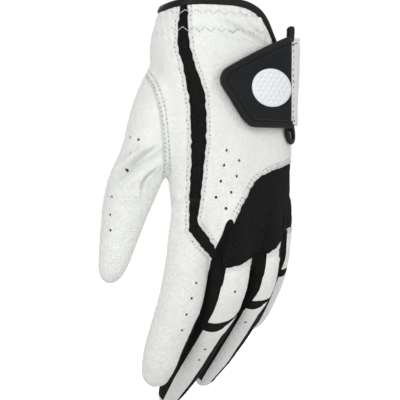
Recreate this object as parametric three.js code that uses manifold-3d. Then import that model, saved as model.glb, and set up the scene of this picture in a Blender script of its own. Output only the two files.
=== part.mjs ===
// A left-hand golf glove on the shape of a relaxed hand, in millimetres.
// The fingers point down (-Z), the back of the hand faces -Y and the thumb is on the -X side.
// The origin is the centre of the wrist opening.
import * as THREE from "three";
import { mergeVertices } from "three/addons/utils/BufferGeometryUtils.js";
import Module from "manifold-3d";

const wasm = await Module();
wasm.setup();

// Overall sizes, and the sizes that the sections and outlines below are drawn at.
const GLOVE_LENGTH = 217.4;
const DRAWN_LENGTH = 217.4;
const PALM_BREADTH = 83;
const DRAWN_BREADTH = 83;

// Materials and seams.
const LEATHER = 1.2;
const SEAM_GAP = 0.3;
const STRAP_THICKNESS = 1.3;
const PAD_THICKNESS = 1.0;
const ELASTIC_THICKNESS = 1.0;
const BADGE_THICKNESS = 0.9;
const BADGE_RADIUS = 10;
const BINDING_PROUD = 0.8;
const BINDING_INSIDE = 2.0;
const CUFF_BINDING_WIDTH = 3.5;
const SLIT_BINDING_WIDTH = 2.7;
const TAB_BINDING_WIDTH = 3.4;

// The gap that the soft sleeve fills at each knuckle, and how far side strips stop from a fingertip.
const BEND_LENGTH = 10;
const TIP_CAP = 5;

// The seams of the back are laid out on a plane turned this far towards the thumb.
const PATTERN_TURN = THREE.MathUtils.degToRad(35);
const BACK_EDGE = 2;
const REACH = 120;

const PALM_SIDES = 28;
const FINGER_SIDES = 12;
const PALM_ROUNDNESS = 2.5;
const FINGER_ROUNDNESS = 2.3;
const ARCH_SPAN = 40;
const WEB_LIFT = 20;

const long = GLOVE_LENGTH / DRAWN_LENGTH;
const wide = PALM_BREADTH / DRAWN_BREADTH;

// Palm sections from the wrist down: down, side, forward, half breadth, half depth, arch of the palm.
const PALM = [
  [0, 0, 0, 37, 20.5, 0],
  [10, 0, 2, 39, 22.5, 0],
  [22, -0.5, 4, 40.5, 23.5, 0],
  [40, -0.5, 5.5, 41.5, 23.5, 0],
  [60, 0.5, 4.5, 41, 21.5, 2],
  [78, 2, 2, 39.5, 18, 4],
  [94, 3.5, 0, 37.5, 15, 6],
  [110, 4.5, -1, 36.5, 13.5, 8],
  [122, 5, -1, 35.5, 12.5, 10],
  [134, 5, 0.5, 33.5, 11, 11],
  [141, 5, 2, 30, 8, 11],
];

// Fingers: radius, the gap to the finger beside it, where it bends, the seam angles from the back
// (towards the thumb is positive) before and after the bend, and rows of down, forward, sideways
// shift and share of the radius.
const FINGERS = {
  middle: {
    radius: 10.4,
    bend: 163.5,
    base: { back: [57, -38], thumbSide: [57, 112], littleSide: [-95, -38], from: 137 },
    tip: { back: [60, -2], thumbSide: [60, 112], littleSide: [-75, -2] },
    rows: [
      [104, -5.5, -0.1, 1], [122, -6, -0.1, 1], [140, -4, -0.1, 1], [153, 0.2, 0, 0.99],
      [165, 8.4, 0.1, 0.98], [174.5, 17.4, 0.2, 0.96], [184, 27, 0.3, 0.94], [195, 38, 0.4, 0.9],
      [205, 48, 0.5, 0.84], [212, 55, 0.5, 0.67], [215.4, 58.4, 0.5, 0.48], [217.4, 60.4, 0.5, 0.21],
    ],
  },
  index: {
    radius: 10.7,
    gap: 0.8,
    bend: 158,
    base: { littleSide: [-112, -52], from: 143 },
    tip: { littleSide: [-100, -28] },
    rows: [
      [104, 1, 1.8, 0.99], [118, 1.6, 0.6, 1], [136, 4.2, 0, 1], [152, 8, -0.4, 0.99],
      [165, 13, -0.8, 0.98], [178, 18.6, -1.2, 0.955], [189, 24, -1.5, 0.905], [196.5, 28, -1.7, 0.75],
      [200.3, 30, -1.8, 0.54], [202.6, 31.2, -1.8, 0.22],
    ],
  },
  ring: {
    radius: 9.9,
    gap: 1.8,
    bend: 154,
    base: { back: [34, -32], thumbSide: [34, 95], littleSide: [-95, -32], from: 134 },
    tip: { back: [50, -4], thumbSide: [50, 105], littleSide: [-75, -4] },
    rows: [
      [104, -4, -1.2, 1], [120, -4.6, -0.6, 1], [138, -2.6, -0.2, 0.99], [150, 2.2, 0, 0.98],
      [160, 9, 0.2, 0.96], [168.5, 16.6, 0.4, 0.94], [177.5, 25, 0.6, 0.92], [187.5, 34.5, 0.8, 0.89],
      [196, 43, 1, 0.83], [202.2, 49, 1.2, 0.67], [205.2, 52, 1.2, 0.46], [207, 53.8, 1.3, 0.2],
    ],
  },
  little: {
    radius: 8.9,
    gap: -2,
    bend: 139.5,
    base: { back: [-8, -75], thumbSide: [-8, 60], from: 122 },
    tip: { back: [4, -72], thumbSide: [4, 70] },
    rows: [
      [104, 4, -3, 1], [118, 5.2, -1.8, 1], [131, 7.8, -0.8, 0.99], [143, 12.4, 0, 0.98],
      [152.5, 18.4, 0.8, 0.955], [161, 25, 1.4, 0.91], [168.3, 31, 1.9, 0.81], [172.3, 34.4, 2.1, 0.63],
      [174.4, 36.2, 2.2, 0.45], [175.7, 37.4, 2.3, 0.2],
    ],
  },
  thumb: {
    radius: 13,
    side: 0,
    bend: 100,
    base: {},
    tip: {},
    rows: [
      [28, 8, -18, 1.38], [42, 10, -27, 1.38], [58, 13, -35, 1.31], [79, 15, -42.5, 1.185],
      [92, 17, -48, 1.06], [99, 19, -50, 1], [107, 20.5, -52, 0.93], [119, 21.9, -54, 0.84],
      [132.5, 23.7, -56, 0.72], [141, 25.2, -57.3, 0.585], [145.3, 26, -57.8, 0.43],
      [147.8, 26.5, -58, 0.185],
    ],
  },
};
const MIDDLE_SIDE = -2.9;
FINGERS.middle.side = MIDDLE_SIDE * wide;
const across = (a, b) => FINGERS[a].radius + FINGERS[b].radius + FINGERS[b].gap;
FINGERS.index.side = FINGERS.middle.side - across("middle", "index");
FINGERS.ring.side = FINGERS.middle.side + across("middle", "ring");
FINGERS.little.side = FINGERS.ring.side + across("ring", "little");

// Outlines on the pattern plane: across, up.
const STRIPE = [
  [-26.2, -3.8], [-27.5, -18], [-26.8, -27.5], [-24.7, -35], [-23, -44], [-21.3, -53.5], [-20.4, -67],
  [-20.4, -80], [-21, -93], [-21.7, -117], [-20.4, -121.6], [-9.1, -134.8], [-7.8, -129],
  [-11.8, -123], [-16.4, -116], [-16.8, -112.8], [-15.7, -104], [-13.8, -86.4], [-12.7, -73],
  [-12.8, -55], [-14.1, -47], [-16.4, -39.8], [-18.9, -32.7], [-21.3, -23], [-22.3, -3.8],
];
const KNUCKLES = [
  [50, -84], [31.2, -84.9], [28.3, -86.3], [23.2, -88.1], [19.3, -90], [16.2, -92], [13.5, -94.3],
  [11.7, -97], [9.4, -101.4], [5.3, -108.7], [2.8, -114.4], [1.6, -116.3], [-0.4, -115],
  [-4.5, -124], [-5.5, -137], [-2.4, -139.2], [5, -138], [11.6, -134.5], [19.7, -132.3], [27.1, -126],
  [31, -119.5], [50, -112],
];
const BACK = [
  [-22.3, 0], [-21.3, -23], [-18.9, -32.7], [-16.4, -39.8], [-14.1, -47], [-12.8, -55], [-12.7, -73],
  [-13.8, -86.4], [-15.7, -104], [-16.8, -112.8], [-16.4, -116], [-11.8, -123], [-7.8, -129],
  [-4.2, -123.6], [-0.4, -115], [1.6, -116.3], [2.8, -114.4], [5.3, -108.7], [9.4, -101.4],
  [11.7, -97], [13.5, -94.3], [16.2, -92], [19.3, -90], [23.2, -88.1], [28.3, -86.3], [31.2, -84.9],
  [50, -84], [50, 0],
];
const THUMB_SEAM = [
  [-120, -30], [-46, -35], [-44.6, -38.8], [-41.5, -44], [-39, -50], [-36.4, -60], [-35, -73],
  [-34.5, -88], [-36, -110], [-36, -152], [-120, -152],
];
const TAB = [
  [-5.4, -41.5], [-3.5, -37.2], [0, -34.5], [8.5, -29.3], [19.6, -23.5], [26.4, -20], [33.2, -17.7],
  [33.2, -64.8], [28.9, -65.4], [10.9, -65.8], [8.5, -64.8], [5.1, -62], [1.7, -56.5], [-3.9, -47.7],
];
const SLIT_SIDE = 30.2;
const SLIT_OPENING = [
  [14.5, 6], [14.5, 0], [18, -10], [24.7, -21], [29.6, -64], [SLIT_SIDE, -64], [SLIT_SIDE, 6],
];
const LOOP_PAD = [[0, -42], [1.5, -38.5], [19, -29], [23.4, -60.5], [12, -61.5], [6, -56]];
const BASE_START = SLIT_SIDE + (SLIT_BINDING_WIDTH + 2 * SEAM_GAP) / wide;
const TAB_BASE = [[BASE_START, -19], [39, -19], [39, -64], [BASE_START, -64]];
const BADGE_CENTRE = [18.5, -45];
const RIM = [[-90, 0], [12, 0], [40, -14], [90, -14]];
const ELASTIC_BANDS = { upper: [-4.6, -10], lower: [-13, -19] };
const ELASTIC_SPAN = [-24, 11.5];

// A closed three.js geometry as a solid that can be cut and joined.
function solidOf(geometry) {
  geometry.deleteAttribute("normal");
  geometry.deleteAttribute("uv");
  const merged = mergeVertices(geometry, 1e-4);
  const vertProperties = merged.attributes.position.array;
  const triVerts = new Uint32Array(merged.index.array);
  const made = new wasm.Manifold(new wasm.Mesh({ numProp: 3, vertProperties, triVerts }));
  return made.volume() < 0 ? solidOf(turnedOut(merged)) : made;
}

function turnedOut(geometry) {
  const flipped = geometry.index.array.slice().reverse();
  return geometry.clone().setIndex(new THREE.BufferAttribute(flipped, 1));
}

// A skin through rings of the same number of points, closed at both ends.
function loft(rings) {
  const count = rings[0].length;
  const points = rings.flat();
  const middle = (ring) => ring.reduce((sum, p) => sum.add(p), new THREE.Vector3()).divideScalar(count);
  const first = points.push(middle(rings[0])) - 1;
  const last = points.push(middle(rings.at(-1))) - 1;
  const faces = [];
  for (let j = 0; j < count; j++) {
    const next = (j + 1) % count;
    const end = (rings.length - 1) * count;
    faces.push(first, next, j, last, end + j, end + next);
    for (let row = 0; row < end; row += count)
      faces.push(row + j, row + next, row + count + j, row + next, row + count + next, row + count + j);
  }
  const geometry = new THREE.BufferGeometry().setFromPoints(points);
  geometry.setIndex(faces);
  return solidOf(geometry);
}

const rounded = (value, power) => Math.sign(value) * Math.abs(value) ** (2 / power);

// The palm's outside, grown by an offset; a negative one gives the inside, open at the wrist.
function palmForm(offset) {
  const rings = PALM.map(([down, side, forward, breadth, depth, arch], row) => {
    const up = row === 0 ? Math.max(0, -offset) * 10 : row === PALM.length - 1 ? -offset : 0;
    const web = Math.max(0, row - 7) / (PALM.length - 8);
    return Array.from({ length: PALM_SIDES }, (_, i) => {
      const angle = (2 * Math.PI * i) / PALM_SIDES;
      const x = rounded(Math.cos(angle), PALM_ROUNDNESS) * (breadth * wide + offset);
      const y = rounded(Math.sin(angle), PALM_ROUNDNESS) * (depth + offset);
      const bow = arch * (x / ARCH_SPAN / wide) ** 2;
      const lift = web * WEB_LIFT * Math.max(0, x / breadth / wide) ** 2;
      return new THREE.Vector3(side * wide + x, forward + y + bow, -down * long + up + lift);
    });
  });
  return loft(rings);
}

// The rows of a finger as places, directions and radii, grown by an offset along the surface.
function fingerRows(finger, offset = 0) {
  const places = finger.rows.map(
    ([down, forward, shift]) => new THREE.Vector3(finger.side + shift, forward, -down * long),
  );
  const radii = finger.rows.map((row) => row[3] * finger.radius);
  return places.map((place, i) => {
    const before = Math.max(0, i - 1);
    const after = Math.min(places.length - 1, i + 1);
    const along = places[after].clone().sub(places[before]);
    const taper = Math.atan2(radii[before] - radii[after], along.length());
    along.normalize();
    const sideways = new THREE.Vector3(1, 0, 0).addScaledVector(along, -along.x).normalize();
    const back = new THREE.Vector3().crossVectors(along, sideways).normalize();
    const moved = place.clone().addScaledVector(along, offset * Math.sin(taper));
    return { place: moved, along, sideways, back, radius: radii[i] + offset * Math.cos(taper) };
  });
}

const spot = ({ place, sideways, back }, x, y) =>
  place.clone().addScaledVector(sideways, x).addScaledVector(back, y);

function fingerForm(finger, offset) {
  const rings = fingerRows(finger, offset).map((row) =>
    Array.from({ length: FINGER_SIDES }, (_, i) => {
      const angle = (2 * Math.PI * i) / FINGER_SIDES;
      const x = rounded(Math.cos(angle), FINGER_ROUNDNESS) * row.radius;
      const y = rounded(Math.sin(angle), FINGER_ROUNDNESS) * row.radius;
      return spot(row, x, y);
    }),
  );
  return loft(rings);
}

// The wedge of a finger between two seam angles, narrowed or widened at each seam.
function fingerWedge(finger, [one, other], grown) {
  const from = THREE.MathUtils.degToRad(Math.min(one, other));
  const to = THREE.MathUtils.degToRad(Math.max(one, other));
  const steps = 3;
  const rings = fingerRows(finger).map((row) => {
    const extra = grown / row.radius;
    const arc = Array.from({ length: steps + 1 }, (_, i) => {
      const angle = from - extra + ((to - from + 2 * extra) * i) / steps;
      return spot(row, -Math.sin(angle) * 1.6 * row.radius, Math.cos(angle) * 1.6 * row.radius);
    });
    const inward = (from + to) / 2;
    const tuck = 0.3 * row.radius;
    return [spot(row, -Math.sin(inward) * tuck, Math.cos(inward) * tuck), ...arc];
  });
  return loft(rings);
}

// The plane across a finger at a distance down it, as the block of space beyond it.
function beyond(finger, down, shift = 0) {
  const rows = fingerRows(finger);
  const downs = finger.rows.map((row) => row[0]);
  const i = Math.min(downs.length - 1, downs.findIndex((value) => value >= down));
  const share = (down - downs[i - 1]) / (downs[i] - downs[i - 1]);
  const place = rows[i - 1].place.clone().lerp(rows[i].place, share);
  const along = rows[i - 1].along.clone().lerp(rows[i].along, share).normalize();
  const block = new THREE.BoxGeometry(REACH, REACH, REACH);
  const turn = new THREE.Quaternion().setFromUnitVectors(new THREE.Vector3(0, 0, 1), along);
  block.applyQuaternion(turn);
  const centre = place.addScaledVector(along, shift + REACH / 2);
  block.translate(centre.x, centre.y, centre.z);
  return solidOf(block);
}

// An outline moved out by a distance, corner by corner.
function grow(outline, distance) {
  const points = outline.map(([x, y]) => new THREE.Vector2(x, y));
  const sense = THREE.ShapeUtils.area(points) > 0 ? 1 : -1;
  return points.map((point, i) => {
    const before = points.at(i - 1);
    const after = points[(i + 1) % points.length];
    const a = point.clone().sub(before).normalize();
    const b = after.clone().sub(point).normalize();
    const out = new THREE.Vector2(a.y + b.y, -a.x - b.x).normalize();
    const stretch = 1 / Math.max(0.5, out.dot(new THREE.Vector2(a.y, -a.x)));
    return [point.x + out.x * distance * stretch * sense, point.y + out.y * distance * stretch * sense];
  });
}

// An outline pushed straight through, facing the back of the hand turned by an angle.
function through(outline, grown = 0, turn = PATTERN_TURN) {
  const scaled = outline.map(([x, y]) => [x * wide, y * long]);
  const corners = (grown ? grow(scaled, grown) : scaled).map(([x, y]) => new THREE.Vector2(x, y));
  const block = new THREE.ExtrudeGeometry(new THREE.Shape(corners), {
    depth: 2 * REACH,
    bevelEnabled: false,
  });
  block.rotateX(Math.PI / 2);
  block.translate(0, REACH, 0);
  block.rotateZ(-turn);
  return solidOf(block);
}

function blockOf(low, high) {
  const size = high.map((value, i) => value - low[i]);
  const block = new THREE.BoxGeometry(...size);
  block.translate(...low.map((value, i) => value + size[i] / 2));
  return solidOf(block);
}

const layer = (inside, outside) => palmForm(outside).subtract(palmForm(inside));
const joined = (solids) => solids.reduce((sum, solid) => sum.add(solid));
const largest = (solid) => solid.decompose().sort((a, b) => b.volume() - a.volume())[0];

const glove = new THREE.Group();

function piece(name, solid, finish) {
  const cut = largest(solid).getMesh();
  const geometry = new THREE.BufferGeometry();
  geometry.setAttribute("position", new THREE.BufferAttribute(cut.vertProperties, 3));
  geometry.setIndex(new THREE.BufferAttribute(cut.triVerts, 1));
  geometry.computeVertexNormals();
  const mesh = new THREE.Mesh(geometry, new THREE.MeshStandardMaterial(finish));
  mesh.name = name;
  glove.add(mesh);
}

const WHITE_LEATHER = { color: 0xe9ebe8, roughness: 0.62, metalness: 0 };
const BLACK_KNIT = { color: 0x1c1c1b, roughness: 0.85, metalness: 0 };
const BLACK_BINDING = { color: 0x272622, roughness: 0.6, metalness: 0 };
const TAB_SKIN = { color: 0x232627, roughness: 0.5, metalness: 0 };
const HOOK_AND_LOOP = { color: 0x1d1d1d, roughness: 0.95, metalness: 0 };
const RUBBER_BADGE = { color: 0xe6e8e6, roughness: 0.45, metalness: 0 };
const ELASTIC = { color: 0xdcdcd8, roughness: 0.9, metalness: 0 };

// The hand's shell, from the wrist to the bend of each finger.
const half = SEAM_GAP / 2;
const bendHalf = BEND_LENGTH / 2;
const dorsal = blockOf([-REACH, -REACH, -2 * REACH], [REACH, BACK_EDGE, REACH]);
const names = Object.keys(FINGERS);
const baseForms = names.map((name) => {
  const finger = FINGERS[name];
  return fingerForm(finger, 0).subtract(beyond(finger, finger.bend, -bendHalf));
});
const hollow = joined([palmForm(-LEATHER), ...names.map((name) => fingerForm(FINGERS[name], -LEATHER))]);
const whole = joined([palmForm(0), ...baseForms]).subtract(hollow);

// The cuff's rim slopes down on the little-finger side; its binding sits on the shell's cut edge.
const rimBand = (top, bottom) =>
  through(
    [...RIM.map(([x, z]) => [x, z + top]), ...RIM.map(([x, z]) => [x, z + bottom]).reverse()],
    0,
    0,
  );
const slit = (grown) => through(SLIT_OPENING, grown).intersect(dorsal);
const slitEdge = slit(SLIT_BINDING_WIDTH);
const bindingWall = layer(-BINDING_INSIDE, BINDING_PROUD);
const cuffZone = rimBand(REACH, -CUFF_BINDING_WIDTH - SEAM_GAP);
const cuffBinding = bindingWall.intersect(rimBand(0, -CUFF_BINDING_WIDTH)).subtract(slit(0));
const slitBinding = bindingWall.intersect(slitEdge).subtract(slit(0)).subtract(cuffZone);
let rest = whole.subtract(cuffZone).subtract(slit(SLIT_BINDING_WIDTH + SEAM_GAP));

// Cuts a panel out of what is left of the shell, with a seam gap all round it.
function panel(name, cutter, finish) {
  piece(name, rest.intersect(cutter(-half)), finish);
  rest = rest.subtract(cutter(half));
}

panel("thumb_base", (grown) => through(THUMB_SEAM, grown), WHITE_LEATHER);
panel("index_stripe", (grown) => through(STRIPE, grown).intersect(dorsal), BLACK_KNIT);
panel("knuckle_panel", (grown) => through(KNUCKLES, grown).intersect(dorsal), BLACK_KNIT);
const backArea = blockOf([-REACH, -REACH, -2 * REACH], [REACH, BACK_EDGE - SEAM_GAP, REACH]);
panel("back_panel", (grown) => through(BACK, grown).intersect(grown < 0 ? backArea : dorsal), WHITE_LEATHER);

// The strips of each finger's base and tip, then the soft sleeve and stretch band at its bend.
const STRIPS = { back: WHITE_LEATHER, thumbSide: BLACK_KNIT, littleSide: BLACK_KNIT };
const STRIP_NAMES = { back: "back", thumbSide: "thumb_side", littleSide: "little_side" };
for (const name of names) {
  const finger = FINGERS[name];
  const tube = fingerForm(finger, 0).subtract(fingerForm(finger, -LEATHER));
  for (const strip of Object.keys(STRIPS).filter((key) => finger.base[key])) {
    const start = beyond(finger, finger.base.from);
    panel(
      name + "_base_" + STRIP_NAMES[strip],
      (grown) => fingerWedge(finger, finger.base[strip], grown).intersect(start).intersect(fingerForm(finger, 1)),
      STRIPS[strip],
    );
  }
  const stripEnd = beyond(finger, finger.rows.at(-1)[0], -TIP_CAP);
  let tip = tube.intersect(beyond(finger, finger.bend, bendHalf));
  for (const strip of Object.keys(STRIPS).filter((key) => finger.tip[key])) {
    const wedge = (grown) => fingerWedge(finger, finger.tip[strip], grown).subtract(stripEnd);
    piece(name + "_tip_" + STRIP_NAMES[strip], tip.intersect(wedge(-half)), STRIPS[strip]);
    tip = tip.subtract(wedge(half));
  }
  piece(name + "_tip", tip, WHITE_LEATHER);

  let sleeve = tube
    .intersect(beyond(finger, finger.bend, SEAM_GAP - bendHalf))
    .subtract(beyond(finger, finger.bend, bendHalf - SEAM_GAP));
  if (finger.tip.back) {
    piece(name + "_bend_band", sleeve.intersect(fingerWedge(finger, finger.tip.back, -half)), BLACK_KNIT);
    sleeve = sleeve.subtract(fingerWedge(finger, finger.tip.back, half));
  }
  piece(name + "_bend_sleeve", sleeve, WHITE_LEATHER);
}
piece("palm_panel", rest, WHITE_LEATHER);
piece("cuff_binding", cuffBinding, BLACK_BINDING);
piece("slit_binding", slitBinding, BLACK_BINDING);

// Elastic bands sewn inside the back of the cuff.
for (const [place, [top, bottom]] of Object.entries(ELASTIC_BANDS)) {
  const [left, right] = ELASTIC_SPAN;
  const band = through([[left, top], [right, top], [right, bottom], [left, bottom]]).intersect(dorsal);
  const inside = -LEATHER - SEAM_GAP;
  piece("wrist_elastic_" + place, layer(inside - ELASTIC_THICKNESS, inside).intersect(band), ELASTIC);
}

// The closing tab: loop pad and sewn base on the hand, hook pad, strap, binding and badge on the tab.
const loopOutside = SEAM_GAP + PAD_THICKNESS;
const hookInside = loopOutside + SEAM_GAP;
const strapInside = hookInside + PAD_THICKNESS + SEAM_GAP;
const strapOutside = strapInside + STRAP_THICKNESS;
const tabEdge = Math.max(...TAB.map(([x]) => x));
const openTab = TAB.map(([x, y]) => [x === tabEdge ? x + 2 * TAB_BINDING_WIDTH : x, y]);
const insideBinding = (inset) => through(openTab, -inset);
const onBack = (solid) => solid.intersect(dorsal);
piece("loop_pad", onBack(layer(SEAM_GAP, loopOutside).intersect(through(LOOP_PAD))), HOOK_AND_LOOP);
piece("tab_base", onBack(layer(SEAM_GAP, loopOutside).intersect(through(TAB_BASE))), BLACK_BINDING);
piece(
  "hook_pad",
  onBack(layer(hookInside, hookInside + PAD_THICKNESS).intersect(through(LOOP_PAD, -1))),
  HOOK_AND_LOOP,
);
const strap = layer(strapInside, strapOutside).intersect(through(TAB));
piece("tab_strap", onBack(strap.intersect(insideBinding(TAB_BINDING_WIDTH + SEAM_GAP))), TAB_SKIN);
piece(
  "tab_binding",
  onBack(layer(hookInside, strapOutside + BINDING_PROUD))
    .intersect(through(TAB))
    .subtract(insideBinding(TAB_BINDING_WIDTH)),
  BLACK_BINDING,
);
const badgeOutline = Array.from({ length: 24 }, (_, i) => {
  const angle = (2 * Math.PI * i) / 24;
  const [x, y] = BADGE_CENTRE;
  return [x + Math.cos(angle) * BADGE_RADIUS, y + Math.sin(angle) * BADGE_RADIUS];
});
const badgeInside = strapOutside + SEAM_GAP;
piece(
  "tab_badge",
  onBack(layer(badgeInside, badgeInside + BADGE_THICKNESS).intersect(through(badgeOutline))),
  RUBBER_BADGE,
);

export default glove;
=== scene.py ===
import math

import bpy
import numpy as np
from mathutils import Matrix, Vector, noise
from mathutils.bvhtree import BVHTree


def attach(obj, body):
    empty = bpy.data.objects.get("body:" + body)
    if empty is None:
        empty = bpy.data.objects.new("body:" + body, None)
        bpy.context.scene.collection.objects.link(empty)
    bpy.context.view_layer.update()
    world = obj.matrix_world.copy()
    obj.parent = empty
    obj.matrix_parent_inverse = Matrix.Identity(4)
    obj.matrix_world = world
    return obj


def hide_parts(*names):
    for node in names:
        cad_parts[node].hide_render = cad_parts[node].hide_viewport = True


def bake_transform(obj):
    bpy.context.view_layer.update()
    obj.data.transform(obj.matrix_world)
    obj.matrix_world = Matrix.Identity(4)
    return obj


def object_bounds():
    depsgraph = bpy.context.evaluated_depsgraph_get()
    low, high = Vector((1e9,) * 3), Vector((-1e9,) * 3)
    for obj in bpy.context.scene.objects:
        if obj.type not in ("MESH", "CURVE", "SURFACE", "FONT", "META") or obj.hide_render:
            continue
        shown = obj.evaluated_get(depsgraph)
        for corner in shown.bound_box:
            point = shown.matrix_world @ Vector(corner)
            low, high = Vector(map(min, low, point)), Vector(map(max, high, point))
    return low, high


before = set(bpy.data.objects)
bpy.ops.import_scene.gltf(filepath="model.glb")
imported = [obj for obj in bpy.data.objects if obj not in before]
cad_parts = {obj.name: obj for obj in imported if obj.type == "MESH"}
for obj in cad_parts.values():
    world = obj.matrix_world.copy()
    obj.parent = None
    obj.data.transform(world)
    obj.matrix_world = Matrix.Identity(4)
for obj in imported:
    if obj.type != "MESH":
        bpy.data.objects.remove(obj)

cad_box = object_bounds()
bpy.ops.object.select_all(action="DESELECT")


# ---------------------------------------------------------------- camera, light and floor
# The camera looks level at the back of the hand from the thumb's side, through a long lens.
VIEW_TURN = math.radians(-35)
VIEW_DISTANCE = 0.9
VIEW_WIDTH = 0.212
VIEW_SIDE = -0.0159
VIEW_HEIGHT = -0.104
SIDEWAYS = np.array([math.cos(VIEW_TURN), math.sin(VIEW_TURN), 0.0])
OUTWARD = np.array([math.sin(VIEW_TURN), -math.cos(VIEW_TURN), 0.0])
UPWARD = np.array([0.0, 0.0, 1.0])

aim = SIDEWAYS * VIEW_SIDE + UPWARD * VIEW_HEIGHT
bpy.ops.object.camera_add(location=Vector(aim + OUTWARD * VIEW_DISTANCE))
camera = bpy.context.object
camera.rotation_euler = (math.pi / 2, 0, VIEW_TURN)
camera.data.sensor_width = 36
camera.data.lens = 36 * VIEW_DISTANCE / VIEW_WIDTH
camera.data.clip_start = 0.01
bpy.context.scene.camera = camera
bpy.context.scene.view_settings.view_transform = "Standard"


def softbox(name, place, size, power, look=(0, 0, -0.11)):
    bpy.ops.object.light_add(type="AREA", location=place)
    lamp = bpy.context.object
    lamp.name = name
    lamp.data.shape = "SQUARE"
    lamp.data.size = size
    lamp.data.energy = power
    lamp.rotation_euler = (Vector(look) - Vector(place)).to_track_quat("-Z", "Y").to_euler()


softbox("key_softbox", (-0.95, -0.75, 0.55), 0.6, 9.0)
softbox("fill_softbox", (0.45, -1.1, 0.35), 0.7, 3.4)
softbox("palm_softbox", (0.5, 1.1, 0.3), 0.8, 5)

world = bpy.data.worlds.new("studio")
bpy.context.scene.world = world
world.use_nodes = True
sky = world.node_tree
background = sky.nodes["Background"]
background.inputs["Strength"].default_value = 0.5
background.inputs["Color"].default_value = (1, 1, 1, 1)
seen = sky.nodes.new("ShaderNodeBackground")
seen.inputs["Color"].default_value = (1, 1, 1, 1)
seen.inputs["Strength"].default_value = 1.0
rays = sky.nodes.new("ShaderNodeLightPath")
either = sky.nodes.new("ShaderNodeMath")
either.operation = "MAXIMUM"
sky.links.new(rays.outputs["Is Camera Ray"], either.inputs[0])
sky.links.new(rays.outputs["Is Transmission Ray"], either.inputs[1])
choose = sky.nodes.new("ShaderNodeMixShader")
sky.links.new(either.outputs[0], choose.inputs["Fac"])
sky.links.new(background.outputs[0], choose.inputs[1])
sky.links.new(seen.outputs[0], choose.inputs[2])
sky.links.new(choose.outputs[0], sky.nodes["World Output"].inputs["Surface"])

FLOOR_DROP = 0.012
bpy.ops.mesh.primitive_plane_add(size=6, location=(0, 0, cad_box[0][2] - FLOOR_DROP))
floor = bpy.context.object
floor.name = "floor"
paper = bpy.data.materials.new("pale_paper")
paper.use_nodes = True
tree = paper.node_tree
sheen = tree.nodes["Principled BSDF"]
sheen.inputs["Base Color"].default_value = (0.86, 0.86, 0.86, 1)
sheen.inputs["Roughness"].default_value = 0.9
sheen.inputs["Emission Color"].default_value = (1, 1, 1, 1)
floor_rays = tree.nodes.new("ShaderNodeLightPath")
lift = tree.nodes.new("ShaderNodeMath")
lift.operation = "MULTIPLY"
lift.inputs[1].default_value = 0.62
tree.links.new(floor_rays.outputs["Is Camera Ray"], lift.inputs[0])
tree.links.new(lift.outputs[0], sheen.inputs["Emission Strength"])
floor.data.materials.append(paper)


# ---------------------------------------------------------------- finishes
# What all finishes share: grain and knit relief, a colour that drifts between two tones, and painted shade from the
# 'shade' attribute.
def link(tree, a, b):
    tree.links.new(a, b)


def grain_group():
    """Pebbled leather grain: a height, and a mask of its valleys."""
    group = bpy.data.node_groups.new("leather_grain", "ShaderNodeTree")
    group.interface.new_socket("Scale", in_out="INPUT", socket_type="NodeSocketFloat")
    group.interface.new_socket("Height", in_out="OUTPUT", socket_type="NodeSocketFloat")
    group.interface.new_socket("Cloud", in_out="OUTPUT", socket_type="NodeSocketFloat")
    start = group.nodes.new("NodeGroupInput")
    end = group.nodes.new("NodeGroupOutput")
    place = group.nodes.new("ShaderNodeTexCoord")
    pebble = group.nodes.new("ShaderNodeTexVoronoi")
    pebble.feature = "SMOOTH_F1"
    pebble.inputs["Smoothness"].default_value = 0.6
    fine = group.nodes.new("ShaderNodeTexNoise")
    fine.inputs["Detail"].default_value = 4
    cloud = group.nodes.new("ShaderNodeTexNoise")
    cloud.inputs["Scale"].default_value = 55
    cloud.inputs["Detail"].default_value = 3
    faster = group.nodes.new("ShaderNodeMath")
    faster.operation = "MULTIPLY"
    faster.inputs[1].default_value = 1.7
    both = group.nodes.new("ShaderNodeMath")
    both.operation = "ADD"
    link(group, start.outputs["Scale"], pebble.inputs["Scale"])
    link(group, start.outputs["Scale"], faster.inputs[0])
    link(group, faster.outputs[0], fine.inputs["Scale"])
    for texture in (pebble, fine, cloud):
        link(group, place.outputs["Object"], texture.inputs["Vector"])
    link(group, pebble.outputs["Distance"], both.inputs[0])
    link(group, fine.outputs["Fac"], both.inputs[1])
    link(group, both.outputs[0], end.inputs["Height"])
    link(group, cloud.outputs["Fac"], end.inputs["Cloud"])
    return group


def knit_group():
    """Fine stretch knit: ribs down the hand crossed by small courses."""
    group = bpy.data.node_groups.new("stretch_knit", "ShaderNodeTree")
    group.interface.new_socket("Pitch", in_out="INPUT", socket_type="NodeSocketFloat")
    group.interface.new_socket("Height", in_out="OUTPUT", socket_type="NodeSocketFloat")
    start = group.nodes.new("NodeGroupInput")
    end = group.nodes.new("NodeGroupOutput")
    place = group.nodes.new("ShaderNodeTexCoord")
    ribs = group.nodes.new("ShaderNodeTexWave")
    ribs.bands_direction = "DIAGONAL"
    courses = group.nodes.new("ShaderNodeTexWave")
    courses.bands_direction = "Z"
    for wave in (ribs, courses):
        wave.inputs["Distortion"].default_value = 1.2
        wave.inputs["Detail"].default_value = 1
        link(group, place.outputs["Object"], wave.inputs["Vector"])
        link(group, start.outputs["Pitch"], wave.inputs["Scale"])
    both = group.nodes.new("ShaderNodeMath")
    both.operation = "MULTIPLY"
    link(group, ribs.outputs["Fac"], both.inputs[0])
    link(group, courses.outputs["Fac"], both.inputs[1])
    link(group, both.outputs[0], end.inputs["Height"])
    return group


GRAIN = grain_group()
KNIT = knit_group()


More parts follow.
